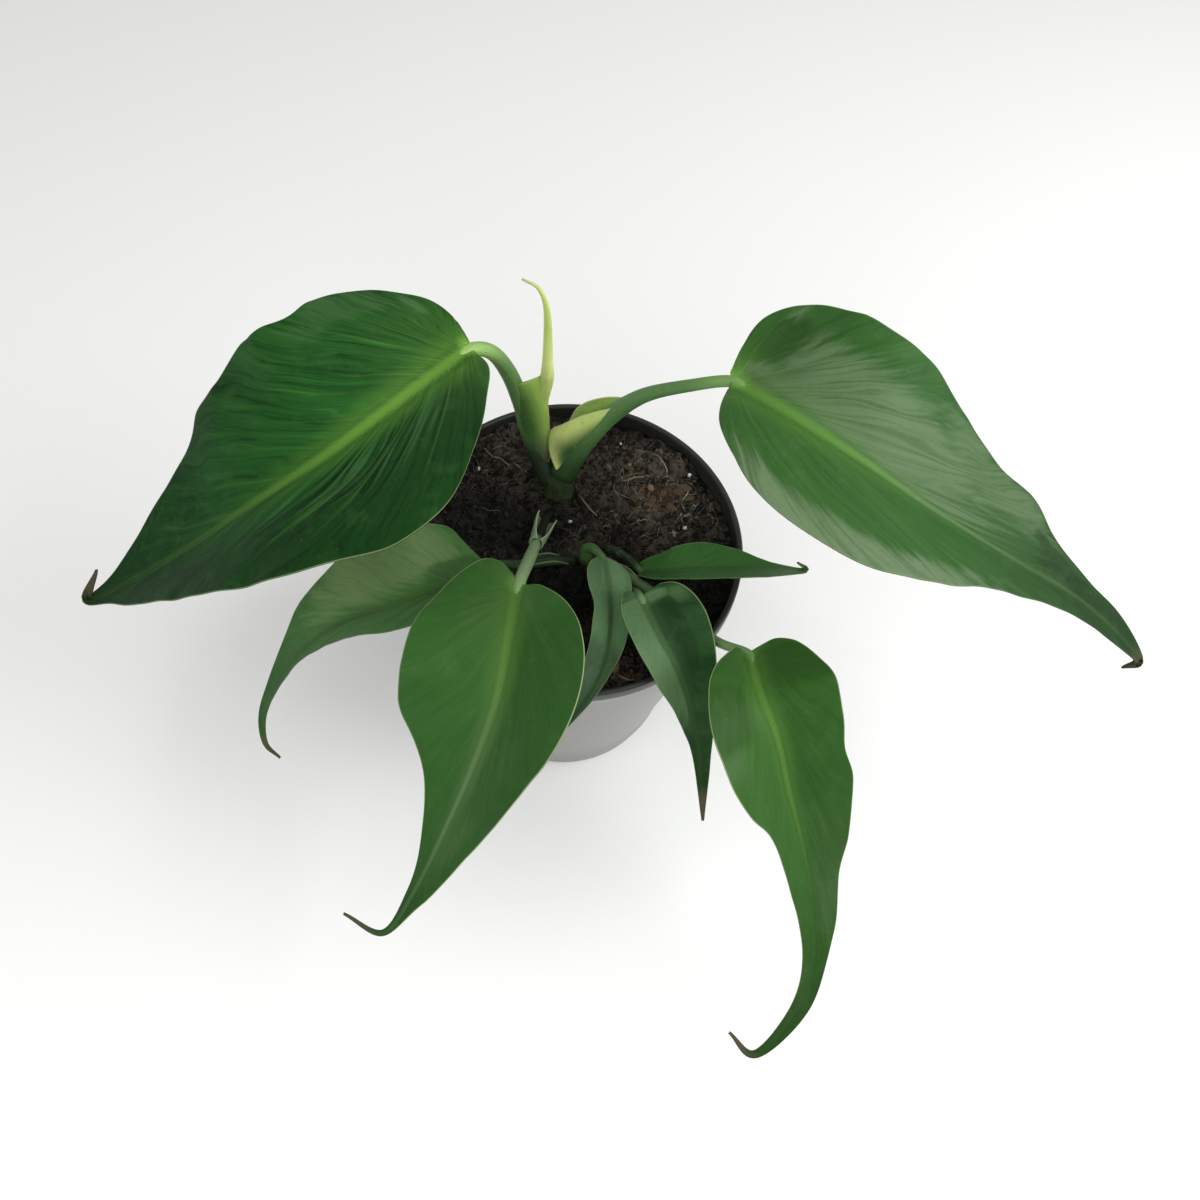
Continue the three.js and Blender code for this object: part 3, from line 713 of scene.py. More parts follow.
bladeColours = {
    "leaf_back_left": {
        "deep": (0.004, 0.038, 0.006), "light": (0.02, 0.104, 0.016), "far": (0.003, 0.026, 0.004),
        "rib": (0.108, 0.25, 0.032), "ribEnd": (0.04, 0.11, 0.018), "ribWidth": (6.0, 1.8), "veins": 15,
        "veinLight": 0.4, "relief": 0.34, "under": (0.05, 0.13, 0.04),
        "sheen": [
            ((0.07, 0.17, 0.08), (0.62, 0.98, 0.15), 0.7), ((0.2, 0.5, 0.1), (0.72, 1.0, 0.1), 0.3),
            ((0.3, 0.62, 0.1), (-0.8, -0.3, 0.15), 0.2),
        ],
        "shade": [
            ((0.04, 0.22, 0.06), (-0.9, -0.3, 0.15), 0.5), ((0.28, 0.9, 0.12), (-1.1, -0.35, 0.25), 0.6),
        ],
        "furrows": [((0.34, 0.64, 0.08), (-0.5, -0.12, 0.12), 0.6)], "sheenColour": (0.085, 0.165, 0.065),
        "edge": (0.5, 0.12), "folds": 0.75, "gloss": 0.12, "ribTaper": 1.0, "knot": 0.8, "streak": 1.7,
        "roughness": 0.46,
    },
    "leaf_right": {
        "deep": (0.02, 0.078, 0.013), "light": (0.044, 0.126, 0.028), "far": (0.01, 0.04, 0.008),
        "rib": (0.088, 0.215, 0.032), "ribEnd": (0.085, 0.15, 0.062), "ribWidth": (8.6, 1.4), "veins": 13,
        "veinLight": 0.2, "relief": 0.2,
        "sheen": [
            ((0.05, 0.74, 0.12), (-0.68, 0.0, 0.22), 0.75), ((0.04, 0.16, 0.06), (-1.0, -0.6, 0.15), 0.6),
            ((0.62, 0.83, 0.06), (-1.0, -0.45, 0.15), 0.6), ((0.36, 0.74, 0.1), (0.74, 1.2, 0.14), 1.0),
        ],
        "shade": [
            ((0.0, 0.26, 0.06), (-0.8, -0.25, 0.14), 0.6), ((0.81, 0.96, 0.04), (-0.8, -0.12, 0.15), 0.9),
        ],
        "sheenColour": (0.132, 0.195, 0.102), "edge": (0.25, 0.25), "tip": 0.96, "folds": 0.2,
        "gloss": 0.12, "ribTaper": 3.0, "knot": 0.5, "streak": 2.1, "roughness": 0.46,
    },
    "leaf_front": {
        "deep": (0.024, 0.092, 0.015), "light": (0.04, 0.118, 0.025), "far": (0.016, 0.06, 0.01),
        "rib": (0.085, 0.182, 0.034), "ribEnd": (0.115, 0.185, 0.085), "ribWidth": (5.2, 1.1),
        "relief": 0.1,
        "sheen": [
            ((0.2, 0.42, 0.1), (-0.5, -0.2, 0.2), 0.14), ((0.12, 0.4, 0.1), (0.1, 0.6, 0.25), 0.16),
            ((0.55, 0.85, 0.1), (-0.7, 0.1, 0.3), 0.3),
        ],
        "shade": [((0.3, 0.75, 0.1), (-1.1, -0.15, 0.2), 0.35)], "sheenColour": (0.1, 0.18, 0.06),
        "edge": (0.9, 0.45), "tip": 0.93, "folds": 0.12, "gloss": 0.15, "ribTaper": 2.2, "knot": 0.35,
    },
    "leaf_left": {
        "deep": (0.044, 0.136, 0.032), "light": (0.076, 0.19, 0.05), "far": (0.018, 0.062, 0.013),
        "rib": (0.052, 0.12, 0.028), "ribEnd": (0.04, 0.1, 0.02), "ribWidth": (3.6, 1.6), "relief": 0.14,
        "under": (0.07, 0.15, 0.045), "sheen": [((0.2, 0.72, 0.12), (0.15, 1.1, 0.25), 0.9)],
        "shade": [((0.1, 0.42, 0.08), (-0.4, 0.3, 0.12), 0.55)], "sheenColour": (0.155, 0.235, 0.09),
        "edge": (0.3, 0.35), "tip": 0.93, "folds": 0.35, "streak": 1.2,
    },
    "leaf_centre_small": {
        "deep": (0.09, 0.19, 0.08), "light": (0.135, 0.27, 0.12), "far": (0.008, 0.042, 0.006),
        "rib": (0.05, 0.11, 0.035), "ribEnd": (0.02, 0.06, 0.012), "ribWidth": (2.4, 1.2), "veins": 9,
        "veinLight": 0.03, "under": (0.06, 0.14, 0.04),
        "sheen": [((0.02, 0.5, 0.14), (-0.9, 0.3, 0.25), 0.85)],
        "shade": [((0.7, 1.0, 0.1), (-1.1, 1.1, 0.2), 0.9)], "sheenColour": (0.18, 0.32, 0.16),
        "edge": (0.4, 0.6), "folds": 0.05, "streak": 0.4,
    },
    "leaf_middle_right": {
        "deep": (0.005, 0.038, 0.007), "light": (0.024, 0.072, 0.019), "far": (0.01, 0.042, 0.007),
        "rib": (0.05, 0.11, 0.036), "ribEnd": (0.03, 0.07, 0.018), "ribWidth": (3.0, 1.3), "veins": 10,
        "veinLight": 0.03, "relief": 0.14, "under": (0.06, 0.14, 0.04),
        "sheen": [
            ((0.0, 0.75, 0.14), (0.06, 1.2, 0.2), 0.85), ((0.12, 0.3, 0.1), (-1.0, -0.55, 0.25), 0.5),
            ((0.0, 0.22, 0.12), (-0.7, 1.1, 0.25), 0.75),
        ],
        "shade": [((0.2, 0.6, 0.08), (-0.6, -0.05, 0.1), 0.5)], "sheenColour": (0.125, 0.235, 0.1),
        "edge": (0.6, 0.25), "tip": 0.88, "folds": 0.08, "streak": 0.5,
    },
    "leaf_front_right": {
        "deep": (0.026, 0.094, 0.013), "light": (0.042, 0.126, 0.023), "far": (0.02, 0.058, 0.012),
        "rib": (0.078, 0.185, 0.03), "ribEnd": (0.036, 0.1, 0.02), "ribWidth": (4.0, 0.8),
        "sheen": [
            ((0.34, 0.5, 0.08), (0.55, 1.1, 0.25), 0.3), ((0.62, 0.8, 0.08), (-1.1, -0.2, 0.3), 0.35),
        ],
        "shade": [
            ((0.3, 0.42, 0.05), (0.3, 1.1, 0.15), 0.5), ((0.02, 0.75, 0.1), (-1.1, -0.12, 0.3), 0.35),
        ],
        "sheenColour": (0.11, 0.17, 0.085), "edge": (0.35, 0.8), "folds": 0.15, "gloss": 0.12,
        "ribTaper": 2.2, "knot": 0.35,
    },
    "leaf_right_small": {
        "deep": (0.028, 0.112, 0.02), "light": (0.05, 0.16, 0.036), "far": (0.06, 0.16, 0.032),
        "rib": (0.05, 0.13, 0.028), "ribEnd": (0.05, 0.12, 0.03), "ribWidth": (2.4, 1.2), "veins": 9,
        "veinLight": 0.1, "under": (0.07, 0.16, 0.045), "sheen": [],
        "shade": [((0.0, 0.5, 0.1), (0.2, 1.1, 0.2), 0.4)], "sheenColour": (0.1, 0.16, 0.08),
        "edge": (0.3, 0.3), "tip": 0.985, "folds": 0.25,
    },
}


def patches(spots, ahead, s, streaks, streak):
    # The strongest of several patches, each with its edge drawn out into streaks along the veins.
    found = []
    for along, across, strength in spots:
        patch = ahead.between(*along) * s.between(*across)
        drawnOut = (patch + (streaks - 0.5) * streak).rise(0.2, 0.95)
        found.append(drawnOut * patch.rise(0.0, 0.35) * strength)
    return reduce(Wire.larger, found) if found else None


def paintBlade(name, leaf):
    # Green between two tones, streaked along the veins, with pale veins, a feathered midrib, painted sheen
    # and rim.
    tone = bladeDefaults | bladeColours[name]
    _, _, length = curveThrough(leaf["midrib"], [0])
    paint = Paint(name + "_blade")
    r, s, toMargin = paint.attribute("place")
    x, y, top = paint.attribute("grain")
    where = paint.objectPlace()
    out, fromRib, share = abs(s), abs(y), x / length
    ahead = share.larger(0.0) ** 0.5
    side = s.rise(-0.02, 0.02)

    streaks = paint.noise(paint.vector(r * 34, s * 1.6, side * 5), 1.0, 5.0, 0.65)
    warp = paint.noise(paint.vector(r * 6, s * 1.2, side * 5), 1.0, 2.0)
    pleats = paint.noise(paint.vector(r * 80 + warp * 16, s * 1.5, side * 5), 1.0, 3.0, 0.6)
    hairs = paint.noise(paint.vector(r * 240, s * 3.0, side * 5), 1.0, 3.0, 0.6)
    clouds = paint.noise(where, 38.0, 3.0, 0.55)
    grit = paint.noise(where, 520.0, 3.0, 0.6)
    count = (r * tone["veins"] + warp * 1.3 + side * 0.4).fraction()
    fromVein = 1 - abs(count * 2 - 1)  # 0 on a side vein, 1 half way to the next
    uneven = paint.noise(paint.vector(r * tone["veins"] * 0.8, s * 1.3, side * 9), 1.0, 2.0).rise(0.36, 0.66)
    vein = (1 - fromVein.rise(0.0, 0.16)) * (1 - out.rise(0.35, 0.95)) * uneven

    shade = clouds.rise(0.3, 0.72) * 0.3 + streaks.rise(0.34, 0.68) * 0.3
    shade = shade + pleats.rise(0.36, 0.64) * 0.25 + hairs.rise(0.4, 0.66) * 0.15
    colour = paint.mix(shade, tone["deep"], tone["light"])
    # Painted shade in the pleats' grooves.
    folds = (1 - pleats.rise(0.3, 0.52)) * (1 - streaks.rise(0.35, 0.65)) * tone["folds"]
    colour = paint.mix(folds, colour, scaled(tone["deep"], 0.3))
    colour = paint.mix(share.rise(0.4, 0.95), colour, tone["far"])
    # Painted shade: darker patches where the leaf lies in shade, in places also its own darker tone.
    dark = patches(tone["shade"], ahead, s, streaks, tone["streak"])
    if dark is not None:
        colour = paint.mix(dark, colour, scaled(tone["deep"], 0.45))

    wide = tone["ribWidth"][1] + (1 - share) ** tone["ribTaper"] * (tone["ribWidth"][0] - tone["ribWidth"][1])
    ribColour = paint.mix(share.rise(0.15, 0.65), tone["rib"], tone["ribEnd"])
    reach = fromRib / wide + (hairs - 0.5) * 0.5
    band = (1 - reach.rise(0.14, 0.86)) * (1 - share.rise(0.4, 0.95) * 0.8)
    halo = (1 - (reach + (streaks - 0.5) * 0.8).rise(0.4, 2.1)) * (1 - share.rise(0.2, 0.8)) * 0.5
    colour = paint.mix(vein * tone["veinLight"] * (1.3 - out), colour, ribColour)
    # Furrows: painted shade in the grooves and a painted highlight on the ridges between them.
    if "furrows" in tone:
        zone = patches(tone["furrows"], ahead, s, streaks, 0.5)
        colour = paint.mix(zone * (1 - pleats.rise(0.4, 0.52)), colour, scaled(tone["deep"], 0.2))
        colour = paint.mix(zone * pleats.rise(0.52, 0.62) * 0.6, colour, bladeSettings["furrowColour"])
    # Painted highlight along the pleats' ridges.
    ridges = pleats.rise(0.52, 0.72) * streaks.rise(0.45, 0.65) * (1 - out.rise(0.3, 0.9)) * tone["folds"]
    colour = paint.mix(ridges * 0.55, colour, scaled(tone["light"], 2.2))
    fromKnot = (x * x + y * y) ** 0.5
    nearby = 1 - fromKnot.rise(4.0, 50.0)
    colour = paint.mix(nearby * tone["knot"] * 0.2, colour, ribColour)
    colour = paint.mix((halo * 0.8).larger(band), colour, ribColour)
    knot = 1 - fromKnot.rise(wide * 0.2, wide * 1.1)
    colour = paint.mix(knot * tone["knot"], colour, tuple(min(2.1 * c, 0.55) for c in tone["rib"]))

    # Painted sheen: a reflection painted into the colour, broken up along the pleats.
    sheen = patches(tone["sheen"], ahead, s, streaks, tone["streak"])
    roughness = tone["roughness"] + grit * 0.08
    if sheen is not None:
        furrow = (1 - pleats.rise(0.36, 0.58)) * tone["streak"] * 0.2
        sheen = sheen * (1 - furrow - (1 - grit.rise(0.35, 0.65)) * 0.15) * (1 - band * 0.6)
        if dark is not None:
            sheen = sheen * (1 - dark.rise(0.0, 0.5) * 0.9)
        colour = paint.mix(sheen, colour, tone["sheenColour"])

    # Pale grey-green blotches at random, between the sheen colour and the light tone.
    paleBlotches = paint.noise(where, 85.0, 4.0, 0.7).rise(0.52, 0.68) * (1 - band)
    blotchColour = tuple(0.5 * (a + b) for a, b in zip(tone["sheenColour"], tone["light"]))
    colour = paint.mix(paleBlotches * 0.16, colour, blotchColour)
    flecks = 1 - paint.cells(where, 300.0).rise(0.05, 0.13)
    chosen = paint.noise(where, 70.0, 1.0).rise(0.6, 0.7)
    colour = paint.mix(flecks * chosen * 0.3, colour, bladeSettings["fleckColour"])
    colour = paint.mix(grit.rise(0.45, 0.75) * 0.12, colour, tone["light"])
    left, right = tone["edge"]
    edge = (1 - toMargin.rise(0.25, 0.65)) * (left + side * (right - left))
    colour = paint.mix(edge, colour, bladeSettings["edgeColour"])
    dry = share.rise(tone["tip"] - 0.04, min(tone["tip"] + 0.03, 0.998))
    colour = paint.mix(dry * 0.85, colour, paint.mix(clouds, *bladeSettings["dryColours"]))
    under = paint.mix(vein * 0.4 + clouds * 0.3, tone["under"], bladeSettings["underVeinColour"])
    colour = paint.mix(1 - top, colour, under)

    quilt = fromVein ** 0.6 * (1 - out * 0.5) * uneven + clouds * 0.8 + streaks * 0.5
    height = (quilt + pleats * 0.9 + hairs * 0.2) * (1 - band) * (top * 2 - 1) + grit * 0.12
    normal = paint.bump(height, tone["relief"])
    surface = roughness + dry * 0.2 + (1 - top) * 0.15
    return paint.finish(colour, surface, normal, Specular_IOR_Level=tone["gloss"])


# By slot, or by leaf where one differs: the tones of the foot, middle and top, then between which shares of
# the stalk's length the foot's tone gives way.
stalkColours = {
    # Painted shade: the foot near black, where the stalk lies in the shadow between the sheath's wings.
    "leaf_front": ((0.004, 0.007, 0.003), (0.21, 0.31, 0.16), (0.21, 0.33, 0.13), (0.36, 0.44)),
    "leaf_middle_right": ((0.05, 0.11, 0.035), (0.13, 0.23, 0.1), (0.15, 0.27, 0.11), (0.0, 0.5)),
    "leaf_front_right": ((0.04, 0.09, 0.03), (0.12, 0.21, 0.085), (0.13, 0.25, 0.08), (0.0, 0.3)),
    "leaf_left": ((0.006, 0.015, 0.005), (0.022, 0.055, 0.016), (0.12, 0.2, 0.08), (0.1, 0.7)),
    "leaf_right_small": ((0.004, 0.009, 0.003), (0.007, 0.02, 0.006), (0.06, 0.14, 0.04), (0.0, 0.4)),
    "leaf_centre_small": ((0.02, 0.07, 0.015), (0.05, 0.13, 0.035), (0.1, 0.2, 0.07), (0.0, 0.6)),
    # Painted shade: the foot dark, where the stalk goes down into the shadow behind the crown.
    "leaf_dark": ((0.01, 0.026, 0.008), (0.095, 0.205, 0.052), (0.28, 0.47, 0.12), (0.14, 0.36)),
    "leaf_middle": ((0.014, 0.048, 0.01), (0.09, 0.205, 0.06), (0.17, 0.32, 0.09), (0.0, 0.35)),
    "leaf_fresh": ((0.04, 0.09, 0.025), (0.075, 0.16, 0.05), (0.12, 0.24, 0.06), (0.0, 0.35)),
}


def paintStalk(key):
    # Foot to junction in three tones, with long pale flecks and fine grooves along the stalk.
    foot, middle, top, fade = stalkColours[key]
    paint = Paint(key + "_stalk")
    _, _, share = paint.attribute("place")
    along, cosine, sine = paint.attribute("grain")
    where = paint.objectPlace()
    flecks = paint.noise(paint.vector(along * 0.35, cosine * 3, sine * 3), 1.0, 4.0, 0.65)
    grown = share.rise(*fade)
    colour = paint.mix(grown, foot, middle)
    colour = paint.mix(share.rise(0.78, 1.0), colour, top)
    colour = paint.mix(flecks.rise(0.45, 0.8) * grown * 0.5, colour, (0.20, 0.28, 0.14))
    spots = 1 - paint.cells(where, 900.0).rise(0.18, 0.32)
    colour = paint.mix(spots * flecks.rise(0.4, 0.7) * 0.25, colour, (0.02, 0.05, 0.015))
    grooves = paint.noise(paint.vector(along * 0.05, cosine * 9, sine * 9), 1.0, 2.0)
    normal = paint.bump(grooves + flecks * 0.4, 0.18)
    return paint.finish(colour, 0.42 + flecks * 0.15, normal, Specular_IOR_Level=0.4)


# By slot, or by leaf where one differs: the tones of the back, the wings, the wings higher up and inside, and
# the margin, then between which shares of the way out the wings' tone takes over, and how strongly painted
# shade darkens the foot.
sheathColours = {
    "leaf_dark": (
        (0.05, 0.135, 0.026), (0.38, 0.54, 0.11), (0.33, 0.56, 0.09), (0.42, 0.5, 0.2), (0.36, 0.95), 0.95,
    ),
    "leaf_middle": (
        (0.022, 0.085, 0.014), (0.66, 0.74, 0.24), (0.36, 0.62, 0.12), (0.58, 0.62, 0.3), (0.34, 0.82), 0.0,
    ),
    "leaf_front": (
        (0.16, 0.24, 0.12), (0.2, 0.29, 0.15), (0.18, 0.28, 0.13), (0.5, 0.55, 0.4), (0.5, 0.9), 0.0,
    ),
    "leaf_left": (
        (0.008, 0.024, 0.007), (0.018, 0.055, 0.013), (0.02, 0.07, 0.015), (0.22, 0.3, 0.15), (0.5, 0.9),
        0.6,
    ),
    "leaf_fresh": (
        (0.05, 0.12, 0.035), (0.09, 0.18, 0.06), (0.08, 0.18, 0.05), (0.3, 0.38, 0.2), (0.5, 0.85), 0.3,
    ),
}


def paintSheath(key):
    # Dark green at the petiole's back, turning pale towards the thin margins, with fine lengthwise veins.
    back, pale, high, margin, fade, darkFoot = sheathColours[key]
    paint = Paint(key + "_sheath")
    share, across, _ = paint.attribute("place")
    _, around, inner = paint.attribute("grain")
    where = paint.objectPlace()
    out = abs(across)
    mottle = paint.noise(where, 230.0, 4.0, 0.6)
    lines = paint.noise(paint.vector(around * 1.6, share * 1.5, 0.0), 1.0, 3.0, 0.6)
    paleness = (out + (mottle - 0.5) * 0.1 + (share - 0.5) * 0.16).rise(*fade)
    wing = paint.mix(share.rise(0.2, 0.9) * 0.55 + inner * 0.35, pale, high)
    colour = paint.mix(paleness, back, wing)
    colour = paint.mix(lines.rise(0.45, 0.75) * (0.04 + 0.25 * paleness), colour, margin)
    stains = paint.noise(where, 620.0, 4.0, 0.7).rise(0.5, 0.66) * mottle.rise(0.4, 0.6)
    colour = paint.mix(stains * 0.45, colour, paint.mix(0.35, back, pale))
    # Painted shade at the foot, where the sheath goes down into the crown's shadow.
    colour = paint.mix((1 - share.rise(0.05, 0.45)) * darkFoot, colour, (0.008, 0.014, 0.006))
    nicks = 1 - paint.cells(where, 170.0).rise(0.07, 0.1)
    colour = paint.mix(nicks * out.rise(0.78, 0.9) * 0.8, colour, (0.02, 0.03, 0.012))
    colour = paint.mix(out.rise(0.9, 1.0) * 0.8, colour, margin)
    normal = paint.bump(lines + mottle * 0.3, 0.15)
    return paint.finish(colour, 0.45 + mottle * 0.1, normal)


# New leaf: a rolled spindle that narrows to a hooked ribbon tip.

newLeafSettings = {
    "path": [
        (-12.5, 26, 115.5), (-14, 29.5, 119), (-16.4, 35.6, 127.5), (-17.1, 37.2, 140), (-15.7, 37, 152),
        (-15.3, 36.5, 158), (-15.8, 38, 176), (-16.7, 37.7, 188), (-19.2, 37, 196), (-24, 36, 200),
    ],
    "radius": (1.8, 2.1, 2.4, 2.5, 1.8, 1.35, 0.9, 0.35),
    "turns": 1.6,  # how often the rolled edge goes round
    "edge": 0.14,  # share of the radius that the rolled edge stands out
    "stops": [
        (0.0, (0.24, 0.42, 0.08)), (0.35, (0.50, 0.64, 0.16)), (0.55, (0.66, 0.74, 0.27)),
        (0.72, (0.46, 0.6, 0.14)), (0.9, (0.6, 0.7, 0.2)), (1.0, (0.42, 0.42, 0.2)),
    ],
}


def rolledEdge(u, angle):
    turn = (angle / (2 * np.pi) + newLeafSettings["turns"] * u) % 1
    return newLeafSettings["edge"] * (turn - 0.5) * (1 - 0.7 * u)


def paintNewLeaf():
    paint = Paint("new_leaf_rolled")
    share, _, _ = paint.attribute("place")
    along, cosine, sine = paint.attribute("grain")
    streaks = paint.noise(paint.vector(along * 0.12, cosine * 4, sine * 4), 1.0, 4.0, 0.6)
    colour = paint.ramp(share, newLeafSettings["stops"])
    colour = paint.mix(streaks.rise(0.4, 0.75) * 0.4, colour, (0.26, 0.4, 0.07))
    return paint.finish(colour, 0.42 + streaks * 0.12, paint.bump(streaks, 0.2))


# Stems: short crowns with ringed scars and papery brown remains.

stemSettings = {
    "main_stem": {
        "path": [(-6, 17, 66), (-7, 18.5, 90), (-7.8, 22, 109), (-8.2, 24.5, 115.5)],
        "radius": (5, 6, 5.6, 4.8),
        "paint": "crown_brown_green", "foot": (0.012, 0.012, 0.007), "top": (0.020, 0.042, 0.012),
    },
    "second_stem": {
        "path": [(6, -1, 72), (6, -2.5, 92), (6, -4, 107), (6, -4, 110.5)],
        "radius": (5, 5.5, 5.0, 3.0),
        "paint": "crown_green", "foot": (0.020, 0.045, 0.012), "top": (0.035, 0.105, 0.022),
    },
}


def stemRidges(u, angle):
    rings = 0.05 * np.sin(u * 46 + 1.5 * np.sin(angle))
    return rings + 0.05 * np.sin(3 * angle + u * 6) + 0.03 * np.sin(7 * angle - u * 11)


def paintStem(stem):
    paint = Paint(stem["paint"])
    where = paint.objectPlace()
    _, _, height = paint.parts(where)
    along, cosine, sine = paint.attribute("grain")
    strands = paint.noise(paint.vector(along * 0.2, cosine * 6, sine * 6), 1.0, 5.0, 0.65)
    stains = paint.noise(where, 190.0, 4.0, 0.6)
    colour = paint.mix(height.rise(0.1, 0.111), stem["foot"], stem["top"])
    colour = paint.mix(strands.rise(0.42, 0.7) * 0.25, colour, (0.10, 0.085, 0.04))
    colour = paint.mix(stains.rise(0.5, 0.7) * 0.6, colour, (0.035, 0.025, 0.014))
    return paint.finish(colour, 0.6 + stains * 0.2, paint.bump(strands + stains * 0.6, 0.6))


# Pot: a turned profile with a rolled lip, and drain holes cut through its base.

potSettings = {
    "height": 112, "rimRadius": 60, "topRadius": 59, "baseRadius": 40, "wall": 1.2,
    "lipHeight": 5, "lipRound": 1.0, "footHeight": 9, "footStep": 1.2,
    "drainRadius": 4, "drainCircle": 27, "drainCount": 6, "segments": 192,
}


def roundCorner(centre, radius, start, stop, steps=7):
    angle = np.radians(np.linspace(start, stop, steps))
    return [(centre[0] + radius * np.cos(a), centre[1] + radius * np.sin(a)) for a in angle]


def wallRadiusAt(height):
    pot = potSettings
    share = (height - pot["footHeight"]) / (pot["height"] - pot["lipHeight"] - pot["footHeight"])
    low = pot["baseRadius"] + pot["footStep"]
    return low + (pot["topRadius"] - low) * share


def turnedShell(profile, segments, stretches):
    # A profile of radius and height, from the axis back to the axis, carried round the Z axis.
    # stretches has a material for each stretch of the profile, and they come back for each face.
    profile = np.array(profile, float)
    angle = np.linspace(0, 2 * np.pi, segments, endpoint=False)
    ring = profile[1:-1]
    points = np.stack([ring[:, :1] * np.cos(angle), ring[:, :1] * np.sin(angle)], -1)
    points = np.concatenate([points, np.broadcast_to(ring[:, 1, None, None], (*points.shape[:2], 1))], -1)
    quads, fans = tubeFaces(len(ring) - 1, segments)
    faces = [quads[:, [0, 3, 2, 1]], fans[:, [0, 2, 1]]]
    ends = [[0, 0, profile[0, 1]], [0, 0, profile[-1, 1]]]
    points = np.concatenate([points.reshape(-1, 3), ends])
    slots = np.repeat(np.concatenate([stretches[1:-1], stretches[[0, -1]]]), segments)
    return makeShell(points, faces, 0, (0, 0, 0), (0, 0, 0)), slots


def potProfile():
    pot = potSettings
    top, lipFoot, soft = pot["height"], pot["height"] - pot["lipHeight"], pot["lipRound"]
    base, rim, inner = pot["baseRadius"], pot["rimRadius"], pot["topRadius"] - pot["wall"]
    foot, step, wall = pot["footHeight"], pot["footStep"], pot["wall"]
    outside = [(0, 0), (base - 1.5, 0), *roundCorner((base - 1, 1), 1, -90, 0), (base + 0.8, foot - 1)]
    outside += [(base + step + 0.6, foot - 0.2), (base + step + 0.8, foot + 0.4)]
    outside += [(wallRadiusAt(h), h) for h in np.linspace(foot + 4, lipFoot - 0.4, 12)]
    lip = [(pot["topRadius"] + 0.2, lipFoot), (rim - 0.8, lipFoot)]
    lip += roundCorner((rim - 0.5, lipFoot + 0.5), 0.5, -90, 0, 4)
    lip += roundCorner((rim - soft, top - soft), soft, 0, 90)
    lip += roundCorner((inner + soft, top - soft), soft, 90, 180)
    inside = [(wallRadiusAt(h) - wall, h) for h in np.linspace(lipFoot, foot + 2, 8)]
    inside += [(base - wall, foot - 1), (base - wall - 1, wall), (0, wall)]
    return outside + lip + inside, len(outside)


def makePot(black, grey):
    profile, greyCount = potProfile()
    stretches = np.where(np.arange(len(profile) - 1) < greyCount - 1, 1, 0)
    shell, slots = turnedShell(profile, potSettings["segments"], stretches)
    pot = makePiece("nursery_pot", [shell], [black, grey], ["pot"])
    pot.data.polygons.foreach_set("material_index", slots.astype(np.int32))
    cutDrainHoles(pot)


def cutDrainHoles(pot):
    # Round pins through the base, taken away by one boolean that is applied straight away.
    drill = bmesh.new()
    for k in range(potSettings["drainCount"]):
        angle = 2 * np.pi * k / potSettings["drainCount"]
        centre = Vector((np.cos(angle), np.sin(angle), 0)) * potSettings["drainCircle"] * mm
        size = potSettings["drainRadius"] * mm
        bmesh.ops.create_cone(
            drill, cap_ends=True, segments=32, radius1=size, radius2=size,
            depth=8 * mm, matrix=Matrix.Translation(centre),
        )
    mesh = bpy.data.meshes.new("drill")
    drill.to_mesh(mesh)
    drill.free()
    pins = bpy.data.objects.new("drill", mesh)
    scene.collection.objects.link(pins)
    cut = pot.modifiers.new("drain", "BOOLEAN")
    cut.operation = "DIFFERENCE"
    cut.object = pins
    cut.solver = "EXACT"
    bpy.context.view_layer.update()
    evaluated = pot.evaluated_get(bpy.context.evaluated_depsgraph_get())
    finished = bpy.data.meshes.new_from_object(evaluated)
    pot.modifiers.clear()
    pot.data = finished
    bpy.data.objects.remove(pins)


def paintPotBlack():
    paint = Paint("pot_black_plastic")
    where = paint.objectPlace()
    dust = paint.noise(where, 120.0, 5.0, 0.65).rise(0.5, 0.75)
    scuffs = paint.noise(where, 700.0, 3.0, 0.6)
    colour = paint.mix(dust * 0.25, (0.024, 0.026, 0.023), (0.075, 0.072, 0.062))
    return paint.finish(colour, 0.34 + dust * 0.3 + scuffs * 0.08, paint.bump(scuffs, 0.05))


def paintPotGrey():
    paint = Paint("pot_grey_plastic")
    where = paint.objectPlace()
    cloud = paint.noise(where, 60.0, 4.0, 0.6)
    specks = paint.noise(where, 900.0, 2.0)
    colour = paint.mix(cloud.rise(0.35, 0.75), (0.295, 0.300, 0.286), (0.322, 0.327, 0.312))
    colour = paint.mix(specks.rise(0.66, 0.75) * 0.4, colour, (0.2, 0.19, 0.17))
    return paint.finish(colour, 0.38 + cloud * 0.1, paint.bump(specks, 0.04))


# Soil: a crumbly top in a disc, with chips, fibres and perlite grains laid on it.

soilSettings = {
    "edgeHeight": 106.5, "tilt": 0.018, "moundHeight": 2.5, "moundRadius": 34, "moundY": 8, "ripple": 0.8,
    "swells": [(2.2, 9, 3), (1.1, 3.1, 5)],  # height, size across and seed
    "crumbs": [(8.5, 2.2), (4.4, 1.6), (2.2, 1.0), (1.2, 0.5)],  # size across and height
    "grid": 250,
    "sideRings": [(90, 2.2), (9, 2.4)],  # height, and gap to the pot's outside
    "bottom": (2, 3),  # height, and gap to the pot's foot
    "scatterSeed": 30,
    # The nearly black last colour is painted shade, for the places where the soil lies in shadow.
    "groove": (0.004, 0.004, 0.0035), "peat": (0.058, 0.051, 0.040), "loose": (0.116, 0.094, 0.070),
    "straw": (0.20, 0.16, 0.115), "rusty": (0.15, 0.092, 0.048), "paintedShade": (0.0045, 0.005, 0.0045),
}

